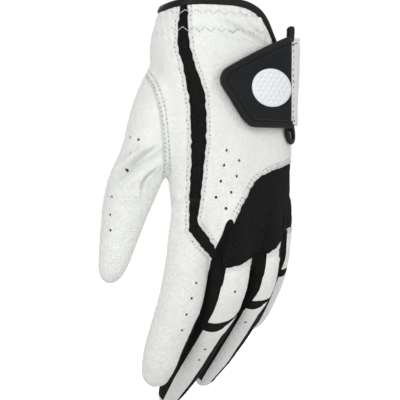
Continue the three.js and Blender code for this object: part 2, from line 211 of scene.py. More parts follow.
def finish(name, dark, light, roughness, group, scale, bump, sheen_weight=0.0, specular=0.5, speckle=70, deep=0.4):
    """A material whose colour drifts between two tones, darkened as painted shade where the 'shade' attribute is set,
    and whose surface takes its relief from a group.
    """
    made = bpy.data.materials.new(name)
    made.use_nodes = True
    tree = made.node_tree
    shader = tree.nodes["Principled BSDF"]
    shader.inputs["Specular IOR Level"].default_value = specular
    shader.inputs["Sheen Weight"].default_value = sheen_weight
    shader.inputs["Sheen Roughness"].default_value = 0.4
    relief = tree.nodes.new("ShaderNodeGroup")
    relief.node_tree = group
    relief.inputs[0].default_value = scale
    raised = tree.nodes.new("ShaderNodeBump")
    raised.inputs["Strength"].default_value = bump
    raised.inputs["Distance"].default_value = deep * 0.001
    link(tree, relief.outputs["Height"], raised.inputs["Height"])
    link(tree, raised.outputs["Normal"], shader.inputs["Normal"])
    place = tree.nodes.new("ShaderNodeTexCoord")
    drift = tree.nodes.new("ShaderNodeTexNoise")
    drift.inputs["Scale"].default_value = speckle
    drift.inputs["Detail"].default_value = 5
    link(tree, place.outputs["Object"], drift.inputs["Vector"])
    ramp = tree.nodes.new("ShaderNodeValToRGB")
    ramp.color_ramp.elements[0].position = 0.3
    ramp.color_ramp.elements[0].color = (*dark, 1)
    ramp.color_ramp.elements[1].position = 0.7
    ramp.color_ramp.elements[1].color = (*light, 1)
    link(tree, drift.outputs["Fac"], ramp.inputs["Fac"])
    # Painted shade: the 'shade' attribute darkens the colour towards 0.62 of the darker tone along seams, stitch
    # grooves and fold valleys.
    painted_shade_amount = tree.nodes.new("ShaderNodeAttribute")
    painted_shade_amount.attribute_name = "shade"
    painted_shade_mix = tree.nodes.new("ShaderNodeMix")
    painted_shade_mix.data_type = "RGBA"
    painted_shade_mix.inputs["B"].default_value = (*[0.62 * value for value in dark], 1)
    link(tree, painted_shade_amount.outputs["Fac"], painted_shade_mix.inputs["Factor"])
    link(tree, ramp.outputs["Color"], painted_shade_mix.inputs["A"])
    link(tree, painted_shade_mix.outputs["Result"], shader.inputs["Base Color"])
    worn = tree.nodes.new("ShaderNodeMapRange")
    worn.inputs["To Min"].default_value = roughness - 0.06
    worn.inputs["To Max"].default_value = roughness + 0.06
    link(tree, drift.outputs["Fac"], worn.inputs["Value"])
    link(tree, worn.outputs["Result"], shader.inputs["Roughness"])
    return made




# ---------------------------------------------------------------- the form of the hand
# The glove is shown filled: a palm and five fingers, melted into one smooth skin. Millimetres.
MM = 0.001
PALM = np.array([
    # down, side, forward, half breadth, half depth, arch
    [-9, -0.4, -2, 35, 18.5, 0], [0, -0.6, 0, 37.8, 20.5, 0], [10, -1, 2, 40.2, 22.5, 0],
    [22, -1.5, 4, 41.8, 23.5, 0],
    [40, -0.5, 5.5, 41.5, 23.5, 0], [60, 0.5, 4.5, 41, 21.5, 2], [78, 2, 2, 39.5, 18, 4],
    [94, 3.5, 0, 37.5, 15, 6], [110, 4.5, -1, 36.5, 13.5, 8], [122, 5, -1, 35.5, 12.5, 10],
    [134, 5, 0.5, 33.5, 11, 11], [141, 5, 2, 30, 8, 11],
])
WEB_LIFT = 20
# Rows of down, sideways, forward, radius.
FINGERS = {
    "index": [[104, -23, 1, 10.6], [118, -24.2, 1.6, 10.7], [136, -24.6, 4.2, 11.2], [152, -24.9, 8, 11.4],
              [165, -25.8, 13, 11.3], [178, -27.5, 18.6, 10.4], [189, -28.3, 24, 9.7], [196.5, -28.4, 28, 8.1],
              [200.6, -28.4, 30.2, 5.9], [203, -28.4, 31.4, 2.2]],
    "middle": [[104, -3, -5.5, 10.4], [122, -3, -6, 10.4], [140, -3, -4, 10.4], [153, -2.9, 0.2, 10.3],
               [165, -2.8, 8.4, 10.2], [174.5, -2.7, 17.4, 10], [184, -2.6, 27, 9.8], [195, -2.5, 38, 9.4],
               [205, -2, 48, 8.1], [212, -1.6, 55, 6.3], [215.6, -1.4, 58.6, 4.5], [218, -1.4, 60.8, 1.8]],
    "ring": [[104, 18, -4, 9.9], [120, 18.6, -4.6, 9.9], [138, 19, -2.6, 9.8], [150, 19.2, 2.2, 9.7],
             [160, 19, 9, 9.5], [168.5, 18.8, 16.6, 9.2], [177.5, 18.4, 25, 8.8], [187.5, 18.2, 34.5, 8.2],
             [196, 18.2, 43, 7.2], [202.2, 18.4, 49, 5.7], [205.4, 18.5, 52.2, 4.1], [207.5, 18.6, 54.2, 1.7]],
    "little": [[104, 33, 4, 8.9], [118, 34.2, 5.2, 8.9], [131, 35.2, 7.8, 8.8], [143, 36, 12.4, 8.7],
               [152.5, 36.8, 18.4, 8.5], [161, 37.4, 25, 8.1], [168.3, 37.9, 31, 7.2], [172.4, 38.1, 34.5, 5.7],
               [174.7, 38.2, 36.5, 4.1], [176.2, 38.3, 37.8, 1.7]],
    "thumb": [[28, -18, 8, 17.5], [42, -26.5, 10, 17], [58, -34.5, 13, 15.6], [79, -42, 15, 13.9], [92, -47.8, 17, 13],
              [99, -50, 19, 13], [107, -52, 20.5, 12.1], [119, -54.6, 21.9, 10.3], [132.5, -57, 23.7, 8.4],
              [141, -58.4, 25.2, 6.6], [145, -58.9, 26.1, 4.8], [147.2, -59.1, 26.6, 2]],
}
FINGERS = {name: np.array(rows, float) for name, rows in FINGERS.items()}
NAMES = list(FINGERS)


def eased(rows, steps):
    """Rows of values joined by a smooth curve through all of them."""
    rows = np.asarray(rows, float)
    padded = np.vstack([2 * rows[0] - rows[1], rows, 2 * rows[-1] - rows[-2]])
    out = []
    for i in range(1, len(padded) - 2):
        p0, p1, p2, p3 = padded[i - 1:i + 3]
        for t in np.arange(steps) / steps:
            out.append(0.5 * (2 * p1 + (p2 - p0) * t + (2 * p0 - 5 * p1 + 4 * p2 - p3) * t * t
                              + (3 * p1 - p0 - 3 * p2 + p3) * t ** 3))
    out.append(rows[-1])
    return np.array(out)


def superellipse(count, power):
    turn = np.linspace(0, 2 * np.pi, count, endpoint=False)
    c, s = np.cos(turn), np.sin(turn)
    return np.sign(c) * np.abs(c) ** (2 / power), np.sign(s) * np.abs(s) ** (2 / power)


def closed_loft(rings):
    """Points and faces of a closed skin through rings of equal count."""
    count, rows = len(rings[0]), len(rings)
    points = np.vstack(rings + [rings[0].mean(0)[None], rings[-1].mean(0)[None]])
    faces = []
    for j in range(count):
        k = (j + 1) % count
        faces.append((rows * count, k, j))
        faces.append((rows * count + 1, (rows - 1) * count + j, (rows - 1) * count + k))
        for i in range(rows - 1):
            faces.append((i * count + j, i * count + k, (i + 1) * count + k, (i + 1) * count + j))
    return points, faces


def palm_loft():
    rows = eased(PALM, 4)
    cx, cy = superellipse(72, 2.5)
    rings = []
    for i, (down, side, forward, breadth, depth, arch) in enumerate(rows):
        x, y = cx * breadth, cy * depth
        web = max(0.0, i / 4 - 8) / (len(PALM) - 9)
        lift = web * WEB_LIFT * np.maximum(0, x / breadth) ** 2
        rings.append(np.stack([side + x, forward + y + arch * (x / 40) ** 2, -down + lift], 1))
    return closed_loft(rings)


def axis_frames(rows):
    places = np.stack([rows[:, 1], rows[:, 2], -rows[:, 0]], 1)
    along = np.gradient(places, axis=0)
    along /= np.linalg.norm(along, axis=1)[:, None]
    across = np.array([1.0, 0, 0]) - along * along[:, :1]
    across /= np.linalg.norm(across, axis=1)[:, None]
    back = np.cross(along, across)
    return places, along, across, back


def finger_loft(rows):
    rows = eased(rows, 4)
    places, along, across, back = axis_frames(rows)
    cx, cy = superellipse(40, 2.2)
    rings = [p + cx[:, None] * r * a + cy[:, None] * r * b
             for p, a, b, r in zip(places, across, back, rows[:, 3])]
    return closed_loft(rings)


def make_object(name, points, faces):
    mesh = bpy.data.meshes.new(name)
    mesh.from_pydata([tuple(p) for p in points], [], [tuple(f) for f in faces])
    mesh.update()
    made = bpy.data.objects.new(name, mesh)
    bpy.context.scene.collection.objects.link(made)
    return made


def choose_only(thing):
    bpy.ops.object.select_all(action="DESELECT")
    thing.select_set(True)
    bpy.context.view_layer.objects.active = thing


def apply_all(thing):
    choose_only(thing)
    for modifier in list(thing.modifiers):
        bpy.ops.object.modifier_apply(modifier=modifier.name)


lasts = [make_object("last_palm", *palm_loft())]
lasts += [make_object("last_" + name, *finger_loft(rows)) for name, rows in FINGERS.items()]
for last in lasts:
    choose_only(last)
    bpy.ops.object.mode_set(mode="EDIT")
    bpy.ops.mesh.select_all(action="SELECT")
    bpy.ops.mesh.normals_make_consistent(inside=False)
    bpy.ops.object.mode_set(mode="OBJECT")
for last in lasts:
    last.select_set(True)
bpy.context.view_layer.objects.active = lasts[0]
bpy.ops.object.join()
last = bpy.context.object
melt = last.modifiers.new("melt", "REMESH")
melt.mode = "VOXEL"
melt.voxel_size = 0.75
soften = last.modifiers.new("soften", "SMOOTH")
soften.factor = 0.5
soften.iterations = 22
apply_all(last)

mesh = last.data
mesh.calc_loop_triangles()
skin_points = np.zeros(len(mesh.vertices) * 3)
mesh.vertices.foreach_get("co", skin_points)
skin_points = skin_points.reshape(-1, 3)
skin_normals = np.zeros(len(mesh.vertices) * 3)
mesh.vertices.foreach_get("normal", skin_normals)
skin_normals = skin_normals.reshape(-1, 3)
skin_faces = np.zeros(len(mesh.loop_triangles) * 3, int)
mesh.loop_triangles.foreach_get("vertices", skin_faces)
skin_faces = skin_faces.reshape(-1, 3)
surface = BVHTree.FromPolygons(skin_points.tolist(), skin_faces.tolist())
bpy.data.objects.remove(last)


# ---------------------------------------------------------------- seam lines
# The back's panels are cut from flat patterns, seen square on from the thumb's side.
BACK_EDGE = 2.0
STRIPE = [
    (-26.2, 8), (-26.2, -3.8), (-27.5, -18), (-26.8, -27.5), (-24.7, -35), (-23, -44), (-21.3, -53.5),
    (-20.4, -67), (-20.4, -80), (-21, -93), (-21.7, -117), (-20.4, -121.6), (-9.1, -134.8), (-6, -134),
    (-7.8, -129), (-11.8, -123), (-16.4, -116), (-16.8, -112.8), (-15.7, -104), (-13.8, -86.4),
    (-12.7, -73), (-12.8, -55), (-14.1, -47), (-16.4, -39.8), (-18.9, -32.7), (-21.3, -23), (-22.3, -3.8),
    (-22.3, 8),
]
KNUCKLES = [
    (52, -83), (40, -84), (31.2, -84.9), (28.3, -86.3), (23.2, -88.1), (19.3, -90), (16.2, -92),
    (13.5, -94.3), (11.7, -97), (9.4, -101.4), (5.3, -108.7), (2.8, -114.4), (1.4, -116.6), (-1.5, -122),
    (-4, -130), (-4.5, -137), (-2.4, -139.2), (5, -138), (11.6, -134.5), (14, -132), (19.7, -132.3),
    (24, -130), (27.1, -126), (30, -121), (33, -119), (52, -112),
]
THUMB_PANEL = [
    (-140, -22), (-90, -26.4), (-65, -28.6), (-56, -29.4), (-49, -30.6), (-46.4, -34), (-44.6, -38.8),
    (-41.5, -44), (-39, -50), (-36.4, -60),
    (-35, -73), (-34.5, -88), (-35.5, -96), (-39, -112), (-43, -125), (-46, -155), (-140, -155),
]
FORKS = {
    "index_middle": [(-0.8, -114.3), (0.6, -114.1), (1.6, -115.6), (1.3, -118.5), (-0.4, -124),
                     (-2.4, -139.2), (-5, -150), (-12, -150),
                     (-10.4, -137), (-9.1, -133), (-7.8, -129), (-4.6, -122.5), (-3.2, -118.4), (-2, -115.5)],
    "middle_ring": [(17.3, -127.6), (19, -130), (19.4, -134), (17, -146), (10, -146), (11.6, -135), (14, -130)],
    "ring_little": [(29.6, -113), (31.2, -116), (30.6, -124), (29, -134), (26, -134), (27.1, -126), (28.6, -118)],
}
SLIT = [(13, 14), (14.5, -1), (16.6, -5.5), (20.5, -12), (24.7, -21), (29.6, -64), (30.2, -64), (30.2, 14)]
BEND_DOWN = {"index": 158, "middle": 163.5, "ring": 154, "little": 139.5, "thumb": 100}
# Seam angles from the back of each finger (towards the thumb is positive), at the bend and before or after it.
SEAMS = {
    "index": {"little": [(-112, -112), (-52, -26)]},
    "middle": {"back": [(-40, -3), (55, 60)], "thumb": [(54, 59), (116, 112)], "little": [(-100, -95), (-40, -3)]},
    "ring": {"back": [(-32, -6), (28, 50)], "thumb": [(28, 50), (100, 105)], "little": [(-100, -90), (-32, -6)]},
    "little": {"back": [(-80, -78), (-12, 5)], "thumb": [(-12, 5), (70, 75)]},
}
STRIP_START = {"index": 134, "middle": 137, "ring": 131, "little": 119}
LEATHER_START = {"index": 144, "middle": 141, "ring": 138, "little": 128}
BAND_HALF = 1.8
BAND_TILT = {"middle": 4.2, "ring": 2.6, "little": 1.6}
TIP_CAP = 5.5


def pattern(points):
    """Where points fall on the pattern plane: across and up."""
    return np.stack([points @ SIDEWAYS, points[:, 2]], 1)


def outline_distance(flat, outline, rounding=4):
    """Distance inside an outline in the pattern plane, negative outside, and the way to its edge."""
    closed = np.array(list(outline[-2:]) + list(outline) + list(outline[:2]), float)
    curve = eased(closed[1:-1], rounding)[rounding:-1] if rounding > 1 else np.array(outline, float)
    best = np.full(len(flat), 1e9)
    way = np.zeros_like(flat)
    inside = np.zeros(len(flat), bool)
    for a, b in zip(curve, np.roll(curve, -1, axis=0)):
        d = b - a
        length = d @ d
        if length < 1e-9:
            continue
        rel = flat - a
        t = np.clip(rel @ d / length, 0, 1)
        gap = rel - t[:, None] * d
        far = np.hypot(gap[:, 0], gap[:, 1])
        nearer = far < best
        best[nearer] = far[nearer]
        way[nearer] = gap[nearer] / np.maximum(far[nearer], 1e-6)[:, None]
        crosses = (a[1] > flat[:, 1]) != (b[1] > flat[:, 1])
        slope = d[0] / d[1] if abs(d[1]) > 1e-12 else 0.0
        inside ^= crosses & (flat[:, 0] < a[0] + slope * (flat[:, 1] - a[1]))
    return np.where(inside, best, -best), way


def outline_field(outline, rounding=4):
    """The signed distance to a seam, measured along the skin."""
    distance, way = outline_distance(pattern(skin_points), outline, rounding)
    facing = way[:, :1] * SIDEWAYS + way[:, 1:] * UPWARD
    lean = np.einsum("ij,ij->i", facing, skin_normals)
    return distance / np.sqrt(np.clip(1 - lean ** 2, 0.16, 1))


def finger_places(rows):
    """Each skin point's distance down a finger's axis, distance from it, the radius there, and its angle."""
    rows = eased(rows, 2)
    places, along, across, back = axis_frames(rows)
    best = np.full(len(skin_points), 1e9)
    down = np.zeros(len(skin_points))
    radius = np.zeros(len(skin_points))
    angle = np.zeros(len(skin_points))
    for i in range(len(rows) - 1):
        a, b = places[i], places[i + 1]
        d = b - a
        t = np.clip((skin_points - a) @ d / (d @ d), 0, 1)
        off = skin_points - (a + t[:, None] * d)
        far = np.linalg.norm(off, axis=1)
        near = far < best
        sx = off @ across[i]
        sy = off @ back[i]
        turn = np.degrees(np.arctan2(-sx, sy))
        best[near] = far[near]
        down[near] = (rows[i, 0] + t * (rows[i + 1, 0] - rows[i, 0]))[near]
        radius[near] = (rows[i, 3] + t * (rows[i + 1, 3] - rows[i, 3]))[near]
        angle[near] = turn[near]
    return down, best, radius, angle


on_finger = {name: finger_places(rows) for name, rows in FINGERS.items()}
share = {name: values[1] / np.maximum(values[2], 1) for name, values in on_finger.items()}
field = {}
dorsal = BACK_EDGE - skin_points[:, 1]
across_all = pattern(skin_points)[:, 0]
RIM_ACROSS = [-60, -36.7, -27, -16, 2, 9, 14.2, 19.4, 24, 40]
RIM_UP = [-7, -3.4, -1.2, -0.2, -0.2, -1.4, -3.8, -8.6, -19, -19.5]
field["rim"] = np.interp(across_all, RIM_ACROSS, RIM_UP) - skin_points[:, 2]
field["slit"] = np.minimum(outline_field(SLIT, 1), dorsal)
field["thumb"] = outline_field(THUMB_PANEL)
field["stripe"] = np.minimum(outline_field(STRIPE), dorsal)
field["knuckles"] = np.minimum(outline_field(KNUCKLES), dorsal)
field["back"] = np.minimum(np.minimum(dorsal, pattern(skin_points)[:, 0] + 21), skin_points[:, 2] + 139)
wobble = np.array([noise.noise(Vector(p) * 0.33 + Vector((3, 7, 1))) for p in skin_points])
for name in ("stripe", "knuckles"):
    field[name] = field[name] + 0.7 * wobble
forks = {name: np.minimum(outline_field(points), dorsal) for name, points in FORKS.items()}
FORK_OF = {("index", "little"): "index_middle", ("middle", "little"): "middle_ring", ("ring", "little"): "ring_little"}


def beside(name):
    """How far a point belongs to one finger rather than to the next nearest."""
    others = np.min([share[other] for other in NAMES if other != name], axis=0)
    return (others - share[name]) * 6


for name, seams in SEAMS.items():
    down, far, radius, angle = on_finger[name]
    after = np.clip((down - BEND_DOWN[name]) / 12 + 0.5, 0, 1)
    start = down - STRIP_START[name]
    stop = FINGERS[name][-1, 0] - TIP_CAP - down
    mine = beside(name)
    for strip, ((low_a, low_b), (high_a, high_b)) in seams.items():
        low = low_a + (low_b - low_a) * after
        high = high_a + (high_b - high_a) * after
        reach = np.minimum((angle - low), (high - angle)) * np.radians(1) * np.maximum(radius, 2)
        value = np.minimum(np.minimum(reach, start), np.minimum(stop, mine))
        if (name, strip) in FORK_OF:
            value = np.maximum(value, forks[FORK_OF[name, strip]])
        field[name + "_" + strip] = value
    field[name + "_leather"] = np.minimum(down - LEATHER_START[name], mine)
    if "back" in seams:
        middle = (seams["back"][0][0] + seams["back"][1][1]) / 2
        bow = 1.3 * ((angle - middle) / 45) ** 2
        at_bend = down - BEND_DOWN[name] + bow - 0.6 - BAND_TILT[name] * (angle - middle) / 45
        taper = np.clip(1 + (angle - middle) / 60, 0.35, 1.15)
        field[name + "_band"] = BAND_HALF * taper - np.abs(at_bend)
        field[name + "_tipward"] = at_bend


# ---------------------------------------------------------------- relief of the stretched leather
# Seams draw the leather in, knit lies lower than leather, and it folds where the hand bends.
def broad_wave(points):
    return np.sin(points[:, 0] * 0.21) + np.cos(points[:, 2] * 0.17 + 1)


KNIT_FIELDS = ["stripe", "knuckles"] + [n + "_" + s for n, seams in SEAMS.items() for s in seams if s != "back"]
relief = np.zeros(len(skin_points))
knit_mask = np.zeros(len(skin_points))
for name in KNIT_FIELDS:
    knit_mask = np.maximum(knit_mask, np.clip(field[name] / 0.8, 0, 1))
relief -= 0.28 * knit_mask
for name in ["stripe", "knuckles", "thumb"]:
    away = np.abs(field[name])
    relief -= 0.3 * np.exp(-(away / 0.7) ** 2)
    relief += 0.2 * np.exp(-((away - 0.9) / 0.6) ** 2) * (field[name] < 0)

# Rows of stitches sink into the leather, and the groove along them is also darkened in colour as painted shade.
SEWN = {"stripe": (1.7,), "knuckles": (1.0, 2.4), "thumb": (1.0, 3.2)}
groove = np.zeros(len(skin_points))
for name, offsets in SEWN.items():
    for offset in offsets:
        fades = np.clip((skin_points[:, 2] + 97) / 4, 0, 1) if name == "thumb" else 1
        groove = np.maximum(groove, fades * np.exp(-((field[name] + offset) / 0.55) ** 2))
ELASTIC_ROWS = (-7.3, -16.2)
for row_up in ELASTIC_ROWS:
    away = skin_points[:, 2] - row_up - np.interp(across_all, RIM_ACROSS, RIM_UP) * 0.6
    groove = np.maximum(groove, 0.18 * np.exp(-(away / 1.5) ** 2))
    relief += 0.22 * np.sin(across_all * 1.9 + 1.7 * broad_wave(skin_points)) * np.exp(-(away / 3.4) ** 2)
for points in forks.values():
    relief += 0.75 * np.clip(points / 0.9, 0, 1) * np.clip((skin_points[:, 2] + 128) / 5, 0, 1)
relief -= 0.3 * groove
# Painted shade along the seam lines, for the leather's colour.
seam_shade = np.max([np.exp(-(field[n] / 0.6) ** 2) for n in ("stripe", "knuckles", "thumb")], axis=0)


# Painted shade in the valleys of the folds, gathered by crease() for the leather's colour.
fold_shade = np.zeros(len(skin_points))


def crease(points, depth, width, raise_by=0.35):
    """A fold along a line in the pattern plane: a soft valley with a lip on each side, whose valley is also added to
    the painted shade.
    """
    line = eased(points, 6)
    flat = pattern(skin_points)
    best = np.full(len(flat), 1e9)
    share_along = np.zeros(len(flat))
    for i, (a, b) in enumerate(zip(line[:-1], line[1:])):
        d = b - a
        t = np.clip((flat - a) @ d / (d @ d), 0, 1)
        far = np.linalg.norm(flat - a - t[:, None] * d, axis=1)
        near = far < best
        best[near] = far[near]
        share_along[near] = ((i + t) / (len(line) - 1))[near]
    fade = np.clip(np.sin(np.pi * np.clip(share_along, 0.02, 0.98)), 0, 1) ** 0.6
    shape = -np.exp(-(best / width) ** 2) + raise_by * np.exp(-((best - 1.9 * width) / width) ** 2)
    facing = np.clip(skin_normals @ OUTWARD * 3, 0, 1)
    np.maximum(fold_shade, min(1, depth) * np.exp(-(best / width) ** 2) * fade * facing, out=fold_shade)
    return depth * shape * fade * facing


relief += crease([(-38.5, -77), (-45, -81), (-52, -87), (-61, -93.5)], 1.7, 1.3, 0.7)
relief += crease([(-36.5, -80), (-44, -83.5), (-51, -88.5), (-60, -95)], 2.0, 2.6, 1.0)
relief += crease([(-38.6, -87.6), (-43.7, -92.2), (-45.6, -97), (-45.6, -104)], 1.0, 0.9, 0.7)
relief += crease([(-44, -104), (-50, -106), (-58, -105)], 0.3, 2.2)
relief += crease([(-5, -11.5), (3, -14.5), (11, -19), (19, -23.5)], 0.85, 1.1, 0.7)
relief += crease([(8, -12), (14, -15.5), (20, -20)], 0.75, 0.9, 0.7)
relief += crease([(-6, -19), (2, -21.5), (9, -22)], 0.25, 1.2)
relief += crease([(-36, -33), (-39, -42), (-43, -52)], 0.3, 2.2)
relief += crease([(-33, -20), (-31, -26), (-32, -34)], 0.25, 1.6)
relief += crease([(-34, -100), (-30, -104), (-26, -106)], 0.25, 1.8)
relief += crease([(2, -72), (10, -76), (20, -77)], 0.16, 2.4)
for name in NAMES:
    down, far, radius, angle = on_finger[name]
    palm_side = np.clip((np.abs(angle) - 85) / 40, 0, 1) * np.clip(beside(name), 0, 1)
    for shift, depth in ((-3.2, 0.3), (0, 0.55), (3.4, 0.3)):
        wave = down - BEND_DOWN[name] - shift + 0.8 * np.sin(np.radians(angle) * 3 + shift)
        relief -= depth * np.exp(-(wave / 0.9) ** 2) * palm_side
    if name in ("index", "middle", "ring", "little"):
        second = BEND_DOWN[name] + 0.42 * (FINGERS[name][-1, 0] - BEND_DOWN[name])
        relief -= 0.32 * np.exp(-((down - second) / 0.9) ** 2) * palm_side

palmar = np.clip(skin_normals[:, 1] * 2, 0, 1)
for (x0, z0), (x1, z1), (x2, z2), depth in (
    ((-24, -96), (-6, -110), (26, -112), 0.5), ((-30, -88), (-4, -92), (16, -80), 0.45),
    ((-22, -100), (-12, -72), (-6, -40), 0.5),
):
    best = np.full(len(skin_points), 1e9)
    curve = eased([(x0, z0), (x1, z1), (x2, z2)], 8)
    flat_front = skin_points[:, [0, 2]]
    for a, b in zip(curve[:-1], curve[1:]):
        d = b - a
        t = np.clip((flat_front - a) @ d / (d @ d), 0, 1)
        best = np.minimum(best, np.linalg.norm(flat_front - a - t[:, None] * d, axis=1))
    relief += palmar * depth * (-np.exp(-(best / 1.3) ** 2) + 0.35 * np.exp(-((best - 2.6) / 1.5) ** 2))

# Painted shade: stitch grooves, seam lines and fold valleys darken the colour through this attribute.
field["shade"] = np.clip(0.45 * groove + 0.7 * seam_shade + 0.45 * fold_shade, 0, 1)
broad = np.array([noise.noise(Vector(p) * 0.075) for p in skin_points])
small = np.array([noise.noise(Vector(p) * 0.42 + Vector((9, 3, 5))) for p in skin_points])
near_seam = np.exp(-np.min([np.abs(field[n]) for n in ("stripe", "knuckles", "thumb")], axis=0) / 2.5)
relief += 0.5 * broad + small * (0.12 + 0.25 * near_seam)
draped = skin_points + skin_normals * relief[:, None]

# One table of everything known at each skin point, so that cut edges keep it all.
FIELD_NAMES = list(field)
COLUMN = {name: 9 + i for i, name in enumerate(FIELD_NAMES)}


def face_normals(points, faces):
    a, b, c = (points[faces[:, i]] for i in range(3))
    return np.cross(b - a, c - a)


def point_normals(points, faces):
    each = face_normals(points, faces)
    total = np.zeros_like(points)
    for i in range(3):
        np.add.at(total, faces[:, i], each)
    return total / np.maximum(np.linalg.norm(total, axis=1), 1e-9)[:, None]


draped_normals = point_normals(draped, skin_faces)
table = np.hstack([skin_points, draped, draped_normals] + [field[n][:, None] for n in FIELD_NAMES])


def compact(values, faces):
    used, index = np.unique(faces, return_inverse=True)
    return values[used], index.reshape(-1, 3)


def cut(part, level):
    """Splits a skin along the line where level is zero; gives the positive and the negative side."""
    values, faces = part
    if not len(faces):
        return part, part
    level = np.where(np.abs(level) < 1e-6, 1e-6, level)
    plus = level > 0
    count = plus[faces].sum(1)
    whole_plus, whole_minus = faces[count == 3], faces[count == 0]
    mixed = faces[(count == 1) | (count == 2)]
    lone_is_plus = plus[mixed].sum(1) == 1
    lone = np.argmax(plus[mixed] == lone_is_plus[:, None], axis=1)
    rows = np.arange(len(mixed))
    a, b, c = (mixed[rows, (lone + k) % 3] for k in range(3))
    edges = np.sort(np.vstack([np.stack([a, b], 1), np.stack([a, c], 1)]), axis=1)
    unique, index = np.unique(edges, axis=0, return_inverse=True)
    index = index.reshape(-1)
    la, lb = level[unique[:, 0]], level[unique[:, 1]]
    t = (la / (la - lb))[:, None]
    fresh = values[unique[:, 0]] * (1 - t) + values[unique[:, 1]] * t
    grown = np.vstack([values, fresh])
    ab = index[:len(mixed)] + len(values)
    ac = index[len(mixed):] + len(values)
    tips = np.stack([a, ab, ac], 1)
    rests = np.vstack([np.stack([ab, b, c], 1), np.stack([ab, c, ac], 1)])
    rest_is_plus = np.concatenate([~lone_is_plus, ~lone_is_plus])
    plus_faces = np.vstack([whole_plus, tips[lone_is_plus], rests[rest_is_plus]])
    minus_faces = np.vstack([whole_minus, tips[~lone_is_plus], rests[~rest_is_plus]])
    sides = []
    for kept in (plus_faces, minus_faces):
        sides.append(compact(grown, kept) if len(kept) else (grown[:0], kept))
    return sides


def value_of(part, name):
    return part[0][:, COLUMN[name]]


def shell(name, part, thickness, finish_material):
    """A panel with real thickness: its face, its lining side and the cut edge between them."""
    values, faces = part
    outer = values[:, 3:6]
    normals = values[:, 6:9] / np.maximum(np.linalg.norm(values[:, 6:9], axis=1), 1e-9)[:, None]
    inner = outer - normals * thickness
    edges = np.sort(faces[:, [0, 1, 1, 2, 2, 0]].reshape(-1, 2), axis=1)
    directed = faces[:, [0, 1, 1, 2, 2, 0]].reshape(-1, 2)
    _, index, counts = np.unique(edges, axis=0, return_inverse=True, return_counts=True)
    border = directed[counts[index.reshape(-1)] == 1]
    n = len(outer)
    rim = np.vstack([np.stack([border[:, 1], border[:, 0], border[:, 0] + n], 1),
                     np.stack([border[:, 1], border[:, 0] + n, border[:, 1] + n], 1)])
    made = make_object(name, np.vstack([outer, inner]) * MM, np.vstack([faces, faces[:, ::-1] + n, rim]))
    if values.shape[1] > COLUMN["shade"]:
        shade = made.data.attributes.new("shade", "FLOAT", "POINT")
        shade.data.foreach_set("value", np.tile(values[:, COLUMN["shade"]], 2).astype(np.float32))
    made.data.materials.append(finish_material)
    choose_only(made)
    bpy.ops.object.shade_smooth_by_angle(angle=math.radians(50))
    return made


HOLE_RADIUS = 0.82
HOLE_SIDES = 14


def on_skin(across, up, lift=0.0):
    """The skin's point and normal straight behind a place in the pattern plane."""
    start = Vector(SIDEWAYS * across + UPWARD * up + OUTWARD * 200)
    point, normal, _, _ = surface.ray_cast(start, Vector(-OUTWARD))
    if point is None:
        return None, None
    return np.array(point) + np.array(normal) * lift, np.array(normal)


